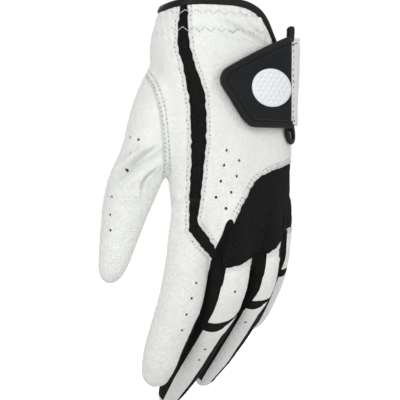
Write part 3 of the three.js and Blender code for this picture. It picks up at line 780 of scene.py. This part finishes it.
def punch(part, places):
    """Small round air holes punched through a panel at places in the pattern plane."""
    values, faces = part
    for across, up in places:
        centre, normal = on_skin(across, up)
        one = np.cross(normal, UPWARD)
        one /= np.linalg.norm(one)
        two = np.cross(normal, one)
        rel = values[:, :3] - centre
        flat = np.stack([rel @ one, rel @ two], 1)
        near = (np.linalg.norm(rel, axis=1) < HOLE_RADIUS + 0.75)
        taken = near[faces].any(1)
        if not taken.any():
            continue
        gone = faces[taken]
        directed = gone[:, [0, 1, 1, 2, 2, 0]].reshape(-1, 2)
        _, index, counts = np.unique(np.sort(directed, axis=1), axis=0, return_inverse=True, return_counts=True)
        after = {int(p): int(q) for p, q in directed[counts[index.reshape(-1)] == 1]}
        loop = [next(iter(after))]
        while after.get(loop[-1], loop[0]) != loop[0] and len(loop) <= len(after):
            loop.append(after[loop[-1]])
        if len(loop) != len(after):
            continue
        turn = np.linspace(0, 2 * np.pi, HOLE_SIDES, endpoint=False) - np.pi
        ring = np.stack([np.cos(turn), np.sin(turn)], 1) * HOLE_RADIUS
        rows = []
        for spot in ring:
            p, q, r = (flat[gone[:, i]] for i in range(3))
            whole_area = (q[:, 0] - p[:, 0]) * (r[:, 1] - p[:, 1]) - (q[:, 1] - p[:, 1]) * (r[:, 0] - p[:, 0])
            at_q = ((spot[0] - p[:, 0]) * (r[:, 1] - p[:, 1]) - (spot[1] - p[:, 1]) * (r[:, 0] - p[:, 0])) / whole_area
            at_r = ((q[:, 0] - p[:, 0]) * (spot[1] - p[:, 1]) - (q[:, 1] - p[:, 1]) * (spot[0] - p[:, 0])) / whole_area
            best = int(np.argmax(np.minimum(np.minimum(at_q, at_r), 1 - at_q - at_r)))
            weights = np.array([1 - at_q[best] - at_r[best], at_q[best], at_r[best]])
            rows.append(weights @ values[gone[best]])
        base = len(values)
        values = np.vstack([values, rows])
        angles = np.arctan2(flat[loop][:, 1], flat[loop][:, 0])
        first = int(np.argmin(angles))
        loop = loop[first:] + loop[:first]
        angles = np.concatenate([angles[first:], angles[:first]])
        if (np.diff(angles) < 0).sum() > 2:
            loop = loop[:1] + loop[:0:-1]
            angles = np.concatenate([angles[:1], angles[:0:-1]])
        outer_turn = list(angles) + [angles[0] + 2 * np.pi]
        inner_turn = list(turn) + [turn[0] + 2 * np.pi]
        fresh, i, k = [], 0, 0
        while i < len(loop) or k < HOLE_SIDES:
            here, there = loop[i % len(loop)], base + k % HOLE_SIDES
            if k >= HOLE_SIDES or (i < len(loop) and outer_turn[i + 1] <= inner_turn[k + 1]):
                fresh.append((here, loop[(i + 1) % len(loop)], there))
                i += 1
            else:
                fresh.append((base + (k + 1) % HOLE_SIDES, there, here))
                k += 1
        fresh = np.array(fresh)
        p, q, r = (values[fresh[:, i], :3] for i in range(3))
        facing = np.cross(q - p, r - p) @ normal
        fresh[facing < 0] = fresh[facing < 0][:, ::-1]
        values, faces = compact(values, np.vstack([faces[~taken], fresh]))
    return values, faces


# ---------------------------------------------------------------- cut edges of the cuff
# The wrist opening and the slit on its outer side are cut first.
# Leather and knit are single layers, and each panel keeps its own thickness at every cut edge.
LEATHER = 0.9
KNIT_THICK = 0.8
whole = (table, skin_faces)
glove, _ = cut(whole, field["rim"])
_, glove = cut(glove, value_of(glove, "slit"))


def blend_finger(piece, name):
    """Bakes a piece's placement into its mesh; the finger's axis is worked out but not used."""
    rows = eased(FINGERS[name], 2)
    places, along, _, _ = axis_frames(rows)
    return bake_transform(piece)


# ---------------------------------------------------------------- thumb
# One leather piece round the thumb, let into the palm by a double-sewn seam.
# Thin white glove leather, grain side out, with a few air holes punched near the folds of the joint.
white_leather = finish("white_leather", (0.80, 0.815, 0.785), (0.86, 0.87, 0.84), 0.62, GRAIN, 1300, 0.8, 0.05,
                       0.35, 420, 0.5)
thumb_part, glove = cut(glove, value_of(glove, "thumb"))
thumb_part = punch(thumb_part, [(-52.3, -71.5), (-47.7, -72.8), (-51, -80.6), (-54.2, -88.4), (-61.4, -102.4),
                                (-62.5, -111.6), (-62.4, -119.6)])
thumb_cover = shell("thumb_leather", thumb_part, LEATHER, white_leather)
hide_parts("thumb_base", "thumb_bend_sleeve", "thumb_tip")
blend_finger(thumb_cover, "thumb")

# ---------------------------------------------------------------- stripe and knuckle panel
# Black stretch knit, sewn under the leather's edges so that the glove gives across the back.
# Both panels are one layer of knit and lie a little lower than the leather round them.
black_knit = finish("black_knit", (0.003, 0.003, 0.003), (0.014, 0.014, 0.013), 0.86, KNIT, 900, 0.8, 0.03, 0.12,
                    900, 0.6)
stripe_part, glove = cut(glove, value_of(glove, "stripe"))
stripe = shell("index_stripe_knit", stripe_part, KNIT_THICK, black_knit)
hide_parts("index_stripe")
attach(stripe, "hand")

finger_knits = {}
for name, seams in SEAMS.items():
    for strip in [s for s in seams if s != "back"]:
        finger_knits[name, strip], glove = cut(glove, value_of(glove, name + "_" + strip))
knuckle_part, glove = cut(glove, value_of(glove, "knuckles"))
knuckles = shell("knuckle_panel_knit", knuckle_part, KNIT_THICK, black_knit)
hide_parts("knuckle_panel")
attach(knuckles, "hand")

# ---------------------------------------------------------------- fourchettes
# Knit strips down the sides of the fingers, from the crotch to near the tip.
# They are black stretch knit, sewn along both edges to the leather of the back and of the palm side.
SIDE_WORD = {"thumb": "thumb_side", "little": "little_side"}
for (name, strip), part in finger_knits.items():
    word = SIDE_WORD[strip]
    piece = shell(f"{name}_{word}_knit", part, KNIT_THICK, black_knit)
    nodes = [n for n in (f"{name}_base_{word}", f"{name}_tip_{word}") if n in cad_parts]
    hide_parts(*nodes)
    blend_finger(piece, name)

# ---------------------------------------------------------------- backs of the outer fingers
# Leather strips before and after the last knuckle, with a stretch band let in between them.
# The strips are white leather and the bands black knit, sewn edge to edge across the finger.
AIR_HOLES = {("middle", "back_leather"): [(2.5, -152.1)], ("ring", "tip_back_leather"): [(8.5, -170)],
             ("middle", "tip_back_leather"): [(-13.2, -183.9), (-16.4, -190)]}
for name in ("middle", "ring", "little"):
    back_part, glove = cut(glove, value_of(glove, name + "_back"))
    band_part, back_part = cut(back_part, value_of(back_part, name + "_band"))
    tip_part, base_part = cut(back_part, value_of(back_part, name + "_tipward"))
    for part, word, node, material, slot_name in (
        (base_part, "back_leather", "base_back", white_leather, "white_leather"),
        (band_part, "stretch_band", "bend_band", black_knit, "black_knit"),
        (tip_part, "tip_back_leather", "tip_back", white_leather, "white_leather"),
    ):
        part = punch(part, AIR_HOLES.get((name, word), []))
        piece = shell(f"{name}_{word}", part, LEATHER, material)
        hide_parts(f"{name}_{node}")
        blend_finger(piece, name)

# ---------------------------------------------------------------- back panel
# White leather between the stripe and the knuckle panel, punched with eight air holes.
# Its edges are turned under and sewn down with one row of lock stitches.
back_part, glove = cut(glove, value_of(glove, "back"))
back_part = punch(back_part, [(-1.9, -78.2), (4.6, -83.5), (-3.4, -86), (3.2, -91.6), (-5, -94.3), (0.4, -100),
                              (-7.5, -102.6), (-2.4, -108.4)])
back_panel = shell("back_leather", back_part, LEATHER, white_leather)
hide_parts("back_panel")
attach(back_panel, "hand")

# ---------------------------------------------------------------- finger leathers and palm
# The palm's leather runs on over the palm side of each finger and round its tip.
# It is the same white leather as the back, sewn to the knit at its edges.
for name in ("index", "middle", "ring", "little"):
    part, glove = cut(glove, value_of(glove, name + "_leather"))
    if name == "index":
        part = punch(part, [(-17.7, -147.2), (-20, -155.3), (-22.8, -163.8), (-25.2, -172.2)])
    piece = shell(name + "_leather", part, LEATHER, white_leather)
    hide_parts(name + "_tip", name + "_bend_sleeve")
    blend_finger(piece, name)
palm = shell("palm_leather", glove, LEATHER, white_leather)
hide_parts("palm_panel")
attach(palm, "hand")


# ---------------------------------------------------------------- sewing
# Lock stitches in short rows: white thread on the white leather, black on the tab and its base.
# Each stitch is a short rounded length of thread, with a dark bead between stitches as painted shade of the needle
# hole.
def contour(part, level):
    """Lines on a skin where level is zero, as lists of rows of its table."""
    values, faces = part
    plus = level > 0
    mixed = faces[(plus[faces].sum(1) % 3) > 0]
    points, links = {}, {}
    for tri in mixed:
        ends = []
        for i in range(3):
            a, b = int(tri[i]), int(tri[(i + 1) % 3])
            if plus[a] != plus[b]:
                key = (min(a, b), max(a, b))
                if key not in points:
                    t = level[key[0]] / (level[key[0]] - level[key[1]])
                    points[key] = values[key[0]] * (1 - t) + values[key[1]] * t
                ends.append(key)
        if len(ends) == 2:
            links.setdefault(ends[0], []).append(ends[1])
            links.setdefault(ends[1], []).append(ends[0])
    lines, seen_keys = [], set()
    for first in sorted(links, key=lambda k: (len(links[k]), k)):
        if first in seen_keys:
            continue
        line, here = [], first
        while here is not None:
            seen_keys.add(here)
            line.append(points[here])
            here = next((k for k in links[here] if k not in seen_keys), None)
        lines.append((np.array(line), len(links[first]) == 2))
    return lines


def spaced(line, pitch):
    """Rows of a line at even spacing along the draped skin."""
    steps = np.linalg.norm(np.diff(line[:, 3:6], axis=0), axis=1)
    length = np.concatenate([[0], np.cumsum(steps)])
    if length[-1] < pitch:
        return None
    at = np.arange(pitch / 2, length[-1], pitch)
    return np.stack([np.interp(at, length, line[:, i]) for i in range(line.shape[1])], 1)


STITCH = [(-1, 0.2), (-0.7, 0.8), (0, 1), (0.7, 0.8), (1, 0.2)]


class Thread:
    """Stitches gathered into one mesh."""

    def __init__(self):
        self.points, self.faces = [], []

    def add(self, centre, along, normal, length, width=0.2, height=0.17):
        along = along / max(np.linalg.norm(along), 1e-9)
        side = np.cross(normal, along)
        side /= max(np.linalg.norm(side), 1e-9)
        base = len(self.points)
        sides = 6
        for step, swell in STITCH:
            for k in range(sides):
                turn = 2 * math.pi * k / sides
                sink = -0.12 * step * step
                self.points.append(centre + along * step * length / 2 + side * math.cos(turn) * width * swell
                                   + normal * (math.sin(turn) * height * swell + sink))
        rows = len(STITCH)
        for i in range(rows - 1):
            for k in range(sides):
                a, b = base + i * sides + k, base + i * sides + (k + 1) % sides
                self.faces.append((a, b, b + sides, a + sides))
        self.faces.append(tuple(base + k for k in reversed(range(sides))))
        self.faces.append(tuple(base + (rows - 1) * sides + k for k in range(sides)))

    def row(self, line, pitch=2.1, length=1.5, lift=0.06, keep=None, hole_shades=None, **sizes):
        even = spaced(line, pitch)
        if even is None or len(even) < 3:
            return
        along = np.gradient(even[:, 3:6], axis=0)
        for values, way in zip(even, along):
            if keep is None or keep(values):
                normal = values[6:9] / np.linalg.norm(values[6:9])
                self.add(values[3:6] + normal * lift, way, normal, length, **sizes)
                # A dark bead halfway to the next stitch, painted shade of the needle hole.
                if hole_shades is not None:
                    step = way / np.linalg.norm(way) * pitch / 2
                    hole_shades.add(values[3:6] + step + normal * 0.03, way, normal, pitch - length + 0.15, 0.24, 0.1)

    def make(self, name, material):
        made = make_object(name, np.array(self.points) * MM, self.faces)
        made.data.materials.append(material)
        choose_only(made)
        bpy.ops.object.mode_set(mode="EDIT")
        bpy.ops.mesh.select_all(action="SELECT")
        bpy.ops.mesh.normals_make_consistent(inside=False)
        bpy.ops.object.mode_set(mode="OBJECT")
        bpy.ops.object.shade_smooth()
        return made


def is_white(values):
    free = [values[COLUMN[n]] for n in KNIT_FIELDS if n not in ("stripe", "knuckles")]
    clear_of_slit = values[COLUMN["slit"]] < -3.5 and values[COLUMN["rim"]] > 4.5
    return max(free) < -0.8 and clear_of_slit


# Dark grey beads that paint the shade of the needle holes between stitches.
needle_hole_shade = finish("needle_hole_shade", (0.10, 0.10, 0.10), (0.2, 0.2, 0.19), 0.9, GRAIN, 2000, 0.2, 0.0, 0.1)
white_thread = finish("white_thread", (0.72, 0.74, 0.73), (0.84, 0.85, 0.84), 0.6, KNIT, 4000, 0.3, 0.1, 0.4)
panel_sewing = Thread()
needle_hole_shades = Thread()
for name, offsets, test in (
    ("stripe", (-1.7,), lambda v: is_white(v) and v[1] < BACK_EDGE - 1 and v[COLUMN["knuckles"]] < -1),
    ("knuckles", (-1.0, -2.3), lambda v: is_white(v) and v[1] < BACK_EDGE - 1 and v[COLUMN["stripe"]] < -1
     and v[2] > -122),
    ("thumb", (-1.0, -3.2), lambda v: v[COLUMN["stripe"]] < -1 and -92 < v[2] < -38),
):
    for offset in offsets:
        for line, _ in contour(whole, field[name] - offset):
            panel_sewing.row(line, pitch=2.3, length=1.55, lift=0.12, keep=test, hole_shades=needle_hole_shades)

# Zig-zag rows that hold the wrist elastics.
ZIGZAG = (-1.1, -0.4, 0.4, 1.1, 0.4, -0.4)
for middle_up in ELASTIC_ROWS:
    level = skin_points[:, 2] - middle_up - np.interp(skin_points[:, 0], [-60, 10, 40], [0, 0, -4])
    for line, _ in contour(whole, level):
        even = spaced(line, 1.05)
        for i in range(len(even) - 1):
            rows = []
            for k in (i, i + 1):
                normal = even[k, 6:9] / np.linalg.norm(even[k, 6:9])
                rows.append(even[k, 3:6] + UPWARD * ZIGZAG[k % len(ZIGZAG)] + normal * 0.07)
            here = even[i]
            across_here = here[:3] @ SIDEWAYS
            if here[1] < 1 and -31 < across_here < 21 - (here[2] + 18) * 0.5 and here[COLUMN["slit"]] < -3.4:
                normal = here[6:9] / np.linalg.norm(here[6:9])
                panel_sewing.add((rows[0] + rows[1]) / 2, rows[1] - rows[0], normal, 1.2, 0.2, 0.18)
                # A dark bead at the zig-zag's turn as painted shade of the needle hole.
                needle_hole_shades.add(rows[0] - UPWARD * 0.22, rows[1] - rows[0], normal, 0.5, 0.2, 0.12)
for sewing in (panel_sewing.make("white_stitching", white_thread), needle_hole_shades.make("needle_hole_shades", needle_hole_shade)):
    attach(sewing, "hand")

for name in ("middle", "ring", "little"):
    band_sewing = Thread()
    for line, _ in contour(whole, field[name + "_band"] + 1.3):
        band_sewing.row(line, pitch=1.7, length=1.15, keep=lambda v: v[COLUMN[name + "_back"]] > 0.7,
                        width=0.13, height=0.1)
    piece = band_sewing.make(name + "_band_stitching", white_thread)
    blend_finger(piece, name)


# ---------------------------------------------------------------- bindings of the cuff and slit
# Folded black tape capped over the raw edges, round the wrist and down both sides of the slit.
# It is woven tape with a slight sheen, folded in two and sewn through.
black_tape = finish("black_tape", (0.004, 0.004, 0.004), (0.009, 0.0085, 0.007), 0.4, KNIT, 1300, 0.3, 0.0, 0.22)


def tube_along(name, places, normals, profile, closed, material, taper=1.5):
    """A rounded tape swept along a line on the skin; profile is across (away from the edge) and out."""
    places, normals = np.asarray(places), np.asarray(normals)
    count = len(places)
    if closed:
        along = np.roll(places, -1, axis=0) - np.roll(places, 1, axis=0)
    else:
        along = np.gradient(places, axis=0)
    along /= np.linalg.norm(along, axis=1)[:, None]
    side = np.cross(along, normals)
    side /= np.linalg.norm(side, axis=1)[:, None]
    out = np.cross(side, along)
    profile = np.array(profile)
    centre = profile.mean(0)
    rings = []
    for i in range(count):
        scale = 1.0
        if not closed:
            from_end = min(i, count - 1 - i)
            scale = min(1.0, math.sqrt(max(0.04, (from_end + 0.2) / taper / 2)))
        flat = centre + (profile - centre) * scale
        rings.append(places[i] + side[i] * flat[:, :1] + out[i] * flat[:, 1:])
    if closed:
        points = np.vstack(rings)
        n = len(profile)
        faces = [(i * n + j, i * n + (j + 1) % n, ((i + 1) % count) * n + (j + 1) % n, ((i + 1) % count) * n + j)
                 for i in range(count) for j in range(n)]
    else:
        points, faces = closed_loft(rings)
    made = make_object(name, points * MM, faces)
    made.data.materials.append(material)
    choose_only(made)
    bpy.ops.object.mode_set(mode="EDIT")
    bpy.ops.mesh.select_all(action="SELECT")
    bpy.ops.mesh.normals_make_consistent(inside=False)
    bpy.ops.object.mode_set(mode="OBJECT")
    bpy.ops.object.shade_smooth_by_angle(angle=math.radians(60))
    return made


def tape_profile(width, out, inside, edge=0.5):
    """A folded tape's section: a flattened rounded loop that caps an edge."""
    turn = np.linspace(0, 2 * math.pi, 20, endpoint=False)
    x = np.sign(np.cos(turn)) * np.abs(np.cos(turn)) ** 0.6
    y = np.sign(np.sin(turn)) * np.abs(np.sin(turn)) ** 0.75
    across = edge - (width + edge) / 2 - 0 * x + x * (width + edge) / 2
    depth = (out - inside) / 2 + y * (out + inside) / 2
    return np.stack([across, depth], 1)


def smooth_line(values, rounds=12):
    values = values.copy()
    for _ in range(rounds):
        values[1:-1] = values[1:-1] * 0.5 + (values[:-2] + values[2:]) * 0.25
    return values


def closed_even(line, pitch, rounds):
    """Rows of a closed line at even spacing, smoothed."""
    line = np.vstack([line, line[:1]])
    length = np.concatenate([[0], np.cumsum(np.linalg.norm(np.diff(line[:, 3:6], axis=0), axis=1))])
    at = np.linspace(0, length[-1], int(length[-1] / pitch), endpoint=False)
    even = np.stack([np.interp(at, length, line[:, i]) for i in range(line.shape[1])], 1)
    for _ in range(rounds):
        even = even * 0.5 + (np.roll(even, 1, axis=0) + np.roll(even, -1, axis=0)) * 0.25
    return even


open_edge = np.minimum(field["rim"], -field["slit"])
edge_line = max((line for line, _ in contour(whole, open_edge)), key=len)
edge_even = closed_even(edge_line, 1.1, 7)
in_slit = -edge_even[:, COLUMN["slit"]] < edge_even[:, COLUMN["rim"]]
in_slit &= edge_even[:, 1] < BACK_EDGE
first = next(i for i in range(len(in_slit)) if in_slit[i] and not in_slit[i - 1])
edge_even = np.roll(edge_even, -first, axis=0)
in_slit = np.roll(in_slit, -first)
slit_count = int(np.argmax(~in_slit))
along = np.roll(edge_even[:, 3:6], -1, axis=0) - np.roll(edge_even[:, 3:6], 1, axis=0)
side = np.cross(along, edge_even[:, 6:9])
side /= np.linalg.norm(side, axis=1)[:, None]
if side[slit_count + 20:, 2].mean() < 0:
    side = -side
out = edge_even[:, 6:9] / np.linalg.norm(edge_even[:, 6:9], axis=1)[:, None]
out -= side * np.einsum("ij,ij->i", out, side)[:, None]
for name, rows, profile, node in (
    ("slit_tape", np.arange(0, slit_count + 1), tape_profile(2.7, 0.9, 1.5), "slit_binding"),
    ("cuff_tape", np.arange(slit_count, len(edge_even) + 1) % len(edge_even), tape_profile(3.5, 1.1, 1.7),
     "cuff_binding"),
):
    rings = [edge_even[i, 3:6] + side[i] * profile[:, :1] + out[i] * profile[:, 1:] for i in rows]
    points, faces = closed_loft(rings)
    tape = make_object(name, points * MM, faces)
    tape.data.materials.append(black_tape)
    choose_only(tape)
    bpy.ops.object.mode_set(mode="EDIT")
    bpy.ops.mesh.select_all(action="SELECT")
    bpy.ops.mesh.normals_make_consistent(inside=False)
    bpy.ops.object.mode_set(mode="OBJECT")
    bpy.ops.object.shade_smooth_by_angle(angle=math.radians(60))
    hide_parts(node)
    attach(tape, "hand")


# ---------------------------------------------------------------- pull loops of the slit tape
# The tape's ends stand out past the tab as a small knob above and a folded loop below.
# They are the same black tape, folded on itself and caught in the seam of the root strip.
def loop_on_skin(name, places, lift, width, thick):
    found = [on_skin(across, up, lift) for across, up in eased(places, 6)]
    points = [p for p, n in found if p is not None]
    normals = [n for p, n in found if p is not None]
    piece = tube_along(name, points, normals, tape_profile(width, thick, thick, width), False, black_tape)
    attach(piece, "hand")
    return piece


loop_on_skin("slit_loop_below", [(29.2, -62), (29, -67), (29.8, -71), (31.3, -72.8), (32.6, -71),
                                 (32.4, -67), (31.2, -62)], 1.6, 1.5, 1.0)
loop_on_skin("slit_knob_above", [(30.4, -12), (30.8, -14), (30.6, -17.5), (30.2, -20.5)], 1.7, 2.2, 1.8)


# ---------------------------------------------------------------- wrist elastics
# Two woven bands behind the back of the cuff, which draw it in round the wrist.
# They are white elastic, held to the leather by the zig-zag rows.
def patch(name, outline, lift, thickness, material, step=0.8, rounding=1, bulge=0.0, extra=None):
    """A flat-cut piece laid over the skin at a height, with rounded thickness."""
    outline = np.array(outline, float)
    low, high = outline.min(0) - 2, outline.max(0) + 2
    xs, ys = np.arange(low[0], high[0], step), np.arange(low[1], high[1], step)
    grid = np.array([(x, y) for y in ys for x in xs])
    found = [on_skin(x, y) for x, y in grid]
    good = np.array([p is not None for p, n in found])
    places = np.array([p if p is not None else (0, 0, 0) for p, n in found], float)
    normals = np.array([n if n is not None else (0, 0, 1) for p, n in found], float)
    w = len(xs)
    for _ in range(3):
        shaped = normals.reshape(len(ys), w, 3)
        blurred = shaped.copy()
        blurred[1:-1, 1:-1] = (shaped[1:-1, 1:-1] * 2 + shaped[:-2, 1:-1] + shaped[2:, 1:-1]
                               + shaped[1:-1, :-2] + shaped[1:-1, 2:]) / 6
        normals = blurred.reshape(-1, 3)
    normals /= np.maximum(np.linalg.norm(normals, axis=1), 1e-9)[:, None]
    faces = []
    for j in range(len(ys) - 1):
        for i in range(w - 1):
            a, b, c, d = j * w + i, j * w + i + 1, (j + 1) * w + i + 1, (j + 1) * w + i
            if good[a] and good[b] and good[c] and good[d]:
                faces += [(a, b, c), (a, c, d)]
    inside, _ = outline_distance(grid, outline, rounding)
    height = lift + thickness + bulge * np.clip(inside / 6, 0, 1) ** 0.5
    height = height - 0.35 * thickness * np.clip(1 - inside / 0.9, 0, 1) ** 2
    if extra is not None:
        height = height + extra(grid)
    values = np.hstack([places, places + normals * height[:, None], normals, inside[:, None]])
    part, _ = cut((values, np.array(faces)), inside)
    return shell(name, part, thickness, material)


elastic_web = finish("elastic_web", (0.62, 0.62, 0.60), (0.74, 0.74, 0.72), 0.85, KNIT, 1400, 0.7, 0.1, 0.3)
for place, (top, bottom) in {"upper": (-4.6, -10), "lower": (-13, -19)}.items():
    band = patch("wrist_elastic_web_" + place, [(-24, top), (11.5, top), (11.5, bottom), (-24, bottom)],
                 -2.4, 0.9, elastic_web)
    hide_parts("wrist_elastic_" + place)
    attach(band, "hand")

# ---------------------------------------------------------------- closing tab
# Hook-and-loop pads hold a stiff strap, bound on three sides and sewn at its root beside the slit.
# The strap is smooth synthetic leather, and its root strip is white leather.
TAB = [(-6.7, -41.6), (-6, -38.6), (-4, -36), (-0.8, -34), (8, -28.6), (19.6, -22.2), (26.4, -18.6),
       (29.6, -17), (29.6, -65.2), (28.9, -65.4), (11.6, -65.9), (8.2, -65), (5, -62.4), (1.2, -56.5),
       (-4.8, -46.6), (-6.4, -44)]
LOOP_PAD = [(0, -42), (1.5, -38.5), (19, -29), (23.4, -60.5), (12, -61.5), (6, -56)]
pile = finish("hook_and_loop_pile", (0.008, 0.008, 0.008), (0.02, 0.02, 0.02), 0.95, GRAIN, 2600, 1.0, 0.3, 0.2)
loop_pad = patch("loop_pile", LOOP_PAD, 0.3, 1.0, pile)
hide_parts("loop_pad")
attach(loop_pad, "hand")
hook_pad = patch("hook_pile", [(1.4, -42), (2.6, -39.4), (18, -30.6), (22.4, -59.4), (12.4, -60.3), (7, -55.4)],
                 1.6, 1.0, pile)
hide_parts("hook_pad")
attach(hook_pad, "tab")
strip_level = np.min([across_all - 28.9, BACK_EDGE + 1.2 + 0.5 * wobble - skin_points[:, 1],
                      -17.5 - skin_points[:, 2], skin_points[:, 2] + 63.5], axis=0)
strip_part, _ = cut(whole, strip_level)
strip_part[0][:, 3:6] += strip_part[0][:, 6:9] * 2.9
strip_part[0][:, COLUMN["shade"]] = 0
tab_base = shell("tab_base_strip", strip_part, 1.0, white_leather)
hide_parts("tab_base")
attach(tab_base, "hand")

STRAP_LIFT = 2.9
strap_skin = finish("strap_skin", (0.007, 0.009, 0.010), (0.011, 0.013, 0.014), 0.6, GRAIN, 2200, 0.12, 0.0, 0.14)
strap = patch("tab_strap_skin", TAB, STRAP_LIFT, 1.3, strap_skin, 0.6, 1, 0.25)
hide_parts("tab_strap")
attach(strap, "tab")


def tab_line(inset, lift):
    """The tab's bound edge, inset and laid over the skin, from its root at the top round to the bottom."""
    edge = TAB[8:] + TAB[:8]
    curve = eased(edge, 5)
    centre = np.array([18.0, -45.0])
    flat = []
    for i, point in enumerate(curve):
        before, after = curve[max(0, i - 1)], curve[min(len(curve) - 1, i + 1)]
        way = (after - before) / max(np.linalg.norm(after - before), 1e-9)
        side = np.array([way[1], -way[0]])
        if side @ (centre - point) < 0:
            side = -side
        flat.append(point + side * inset)
    flat = smooth_line(np.array(flat), 4)
    found = [on_skin(x, y, lift) for x, y in flat]
    points = smooth_line(np.array([p for p, n in found if p is not None]), 3)
    normals = smooth_line(np.array([n for p, n in found if p is not None]), 8)
    return points, normals


edge_points, edge_normals = tab_line(0, STRAP_LIFT + 0.4)
turned = np.cross(edge_points[30] - edge_points[28], edge_normals[29])
if turned @ (edge_points[29] - on_skin(18, -45)[0]) < 0:
    edge_points, edge_normals = edge_points[::-1], edge_normals[::-1]
tab_tape = tube_along("tab_tape", edge_points, edge_normals, tape_profile(3.1, 1.7, 1.2, 0.3), False, black_tape)
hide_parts("tab_binding")
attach(tab_tape, "tab")

black_thread = finish("black_thread", (0.006, 0.006, 0.006), (0.012, 0.012, 0.012), 0.55, KNIT, 4000, 0.3, 0.1, 0.4)
tab_sewing = Thread()
points, normals = tab_line(3.9, STRAP_LIFT + 1.7)
line = np.hstack([points, points, normals])
tab_sewing.row(line, pitch=2.0, length=1.6, lift=0.1, width=0.34, height=0.32)
stitches = tab_sewing.make("tab_stitching", black_thread)
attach(stitches, "tab")

root_sewing = Thread()
found = [on_skin(31.3, up, 2.95) for up in np.arange(-20, -63, -1.0)]
line = np.array([np.concatenate([p, p, n]) for p, n in found if p is not None])
root_sewing.row(line, pitch=3.2, length=1.3, lift=0.05, width=0.28, height=0.22)
stitches = root_sewing.make("tab_root_stitching", black_thread)
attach(stitches, "hand")

# ---------------------------------------------------------------- badge
# A plain moulded disc with the dimples of a golf ball, bonded to the strap.
# It is soft white rubber, slightly crowned.
BADGE = (18.5, -45.0)
BADGE_RADIUS = 10.0


def dimples(grid):
    rel = grid - np.array(BADGE)
    far = np.hypot(rel[:, 0], rel[:, 1])
    dome = 0.8 * np.sqrt(np.clip(1 - (far / (BADGE_RADIUS * 1.15)) ** 2, 0, 1)) - 0.4
    pitch = 2.7
    rows = np.round(rel[:, 1] / (pitch * 0.866))
    shift = (rows % 2) * pitch / 2
    cols = np.round((rel[:, 0] - shift) / pitch)
    near = np.hypot(rel[:, 0] - shift - cols * pitch, rel[:, 1] - rows * pitch * 0.866)
    return dome - 0.32 * np.clip(1 - (near / 1.05) ** 2, 0, 1) * (far < BADGE_RADIUS - 1.2)


turn = np.linspace(0, 2 * math.pi, 72, endpoint=False)
ring = [(BADGE[0] + BADGE_RADIUS * math.cos(a), BADGE[1] + BADGE_RADIUS * math.sin(a)) for a in turn]
soft_rubber = finish("soft_rubber", (0.74, 0.76, 0.77), (0.79, 0.80, 0.81), 0.45, GRAIN, 3000, 0.05, 0.0, 0.5)
badge = patch("tab_badge_disc", ring, STRAP_LIFT + 1.5, 0.9, soft_rubber, 0.25, 1, 0.0, dimples)
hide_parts("tab_badge")
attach(badge, "tab")
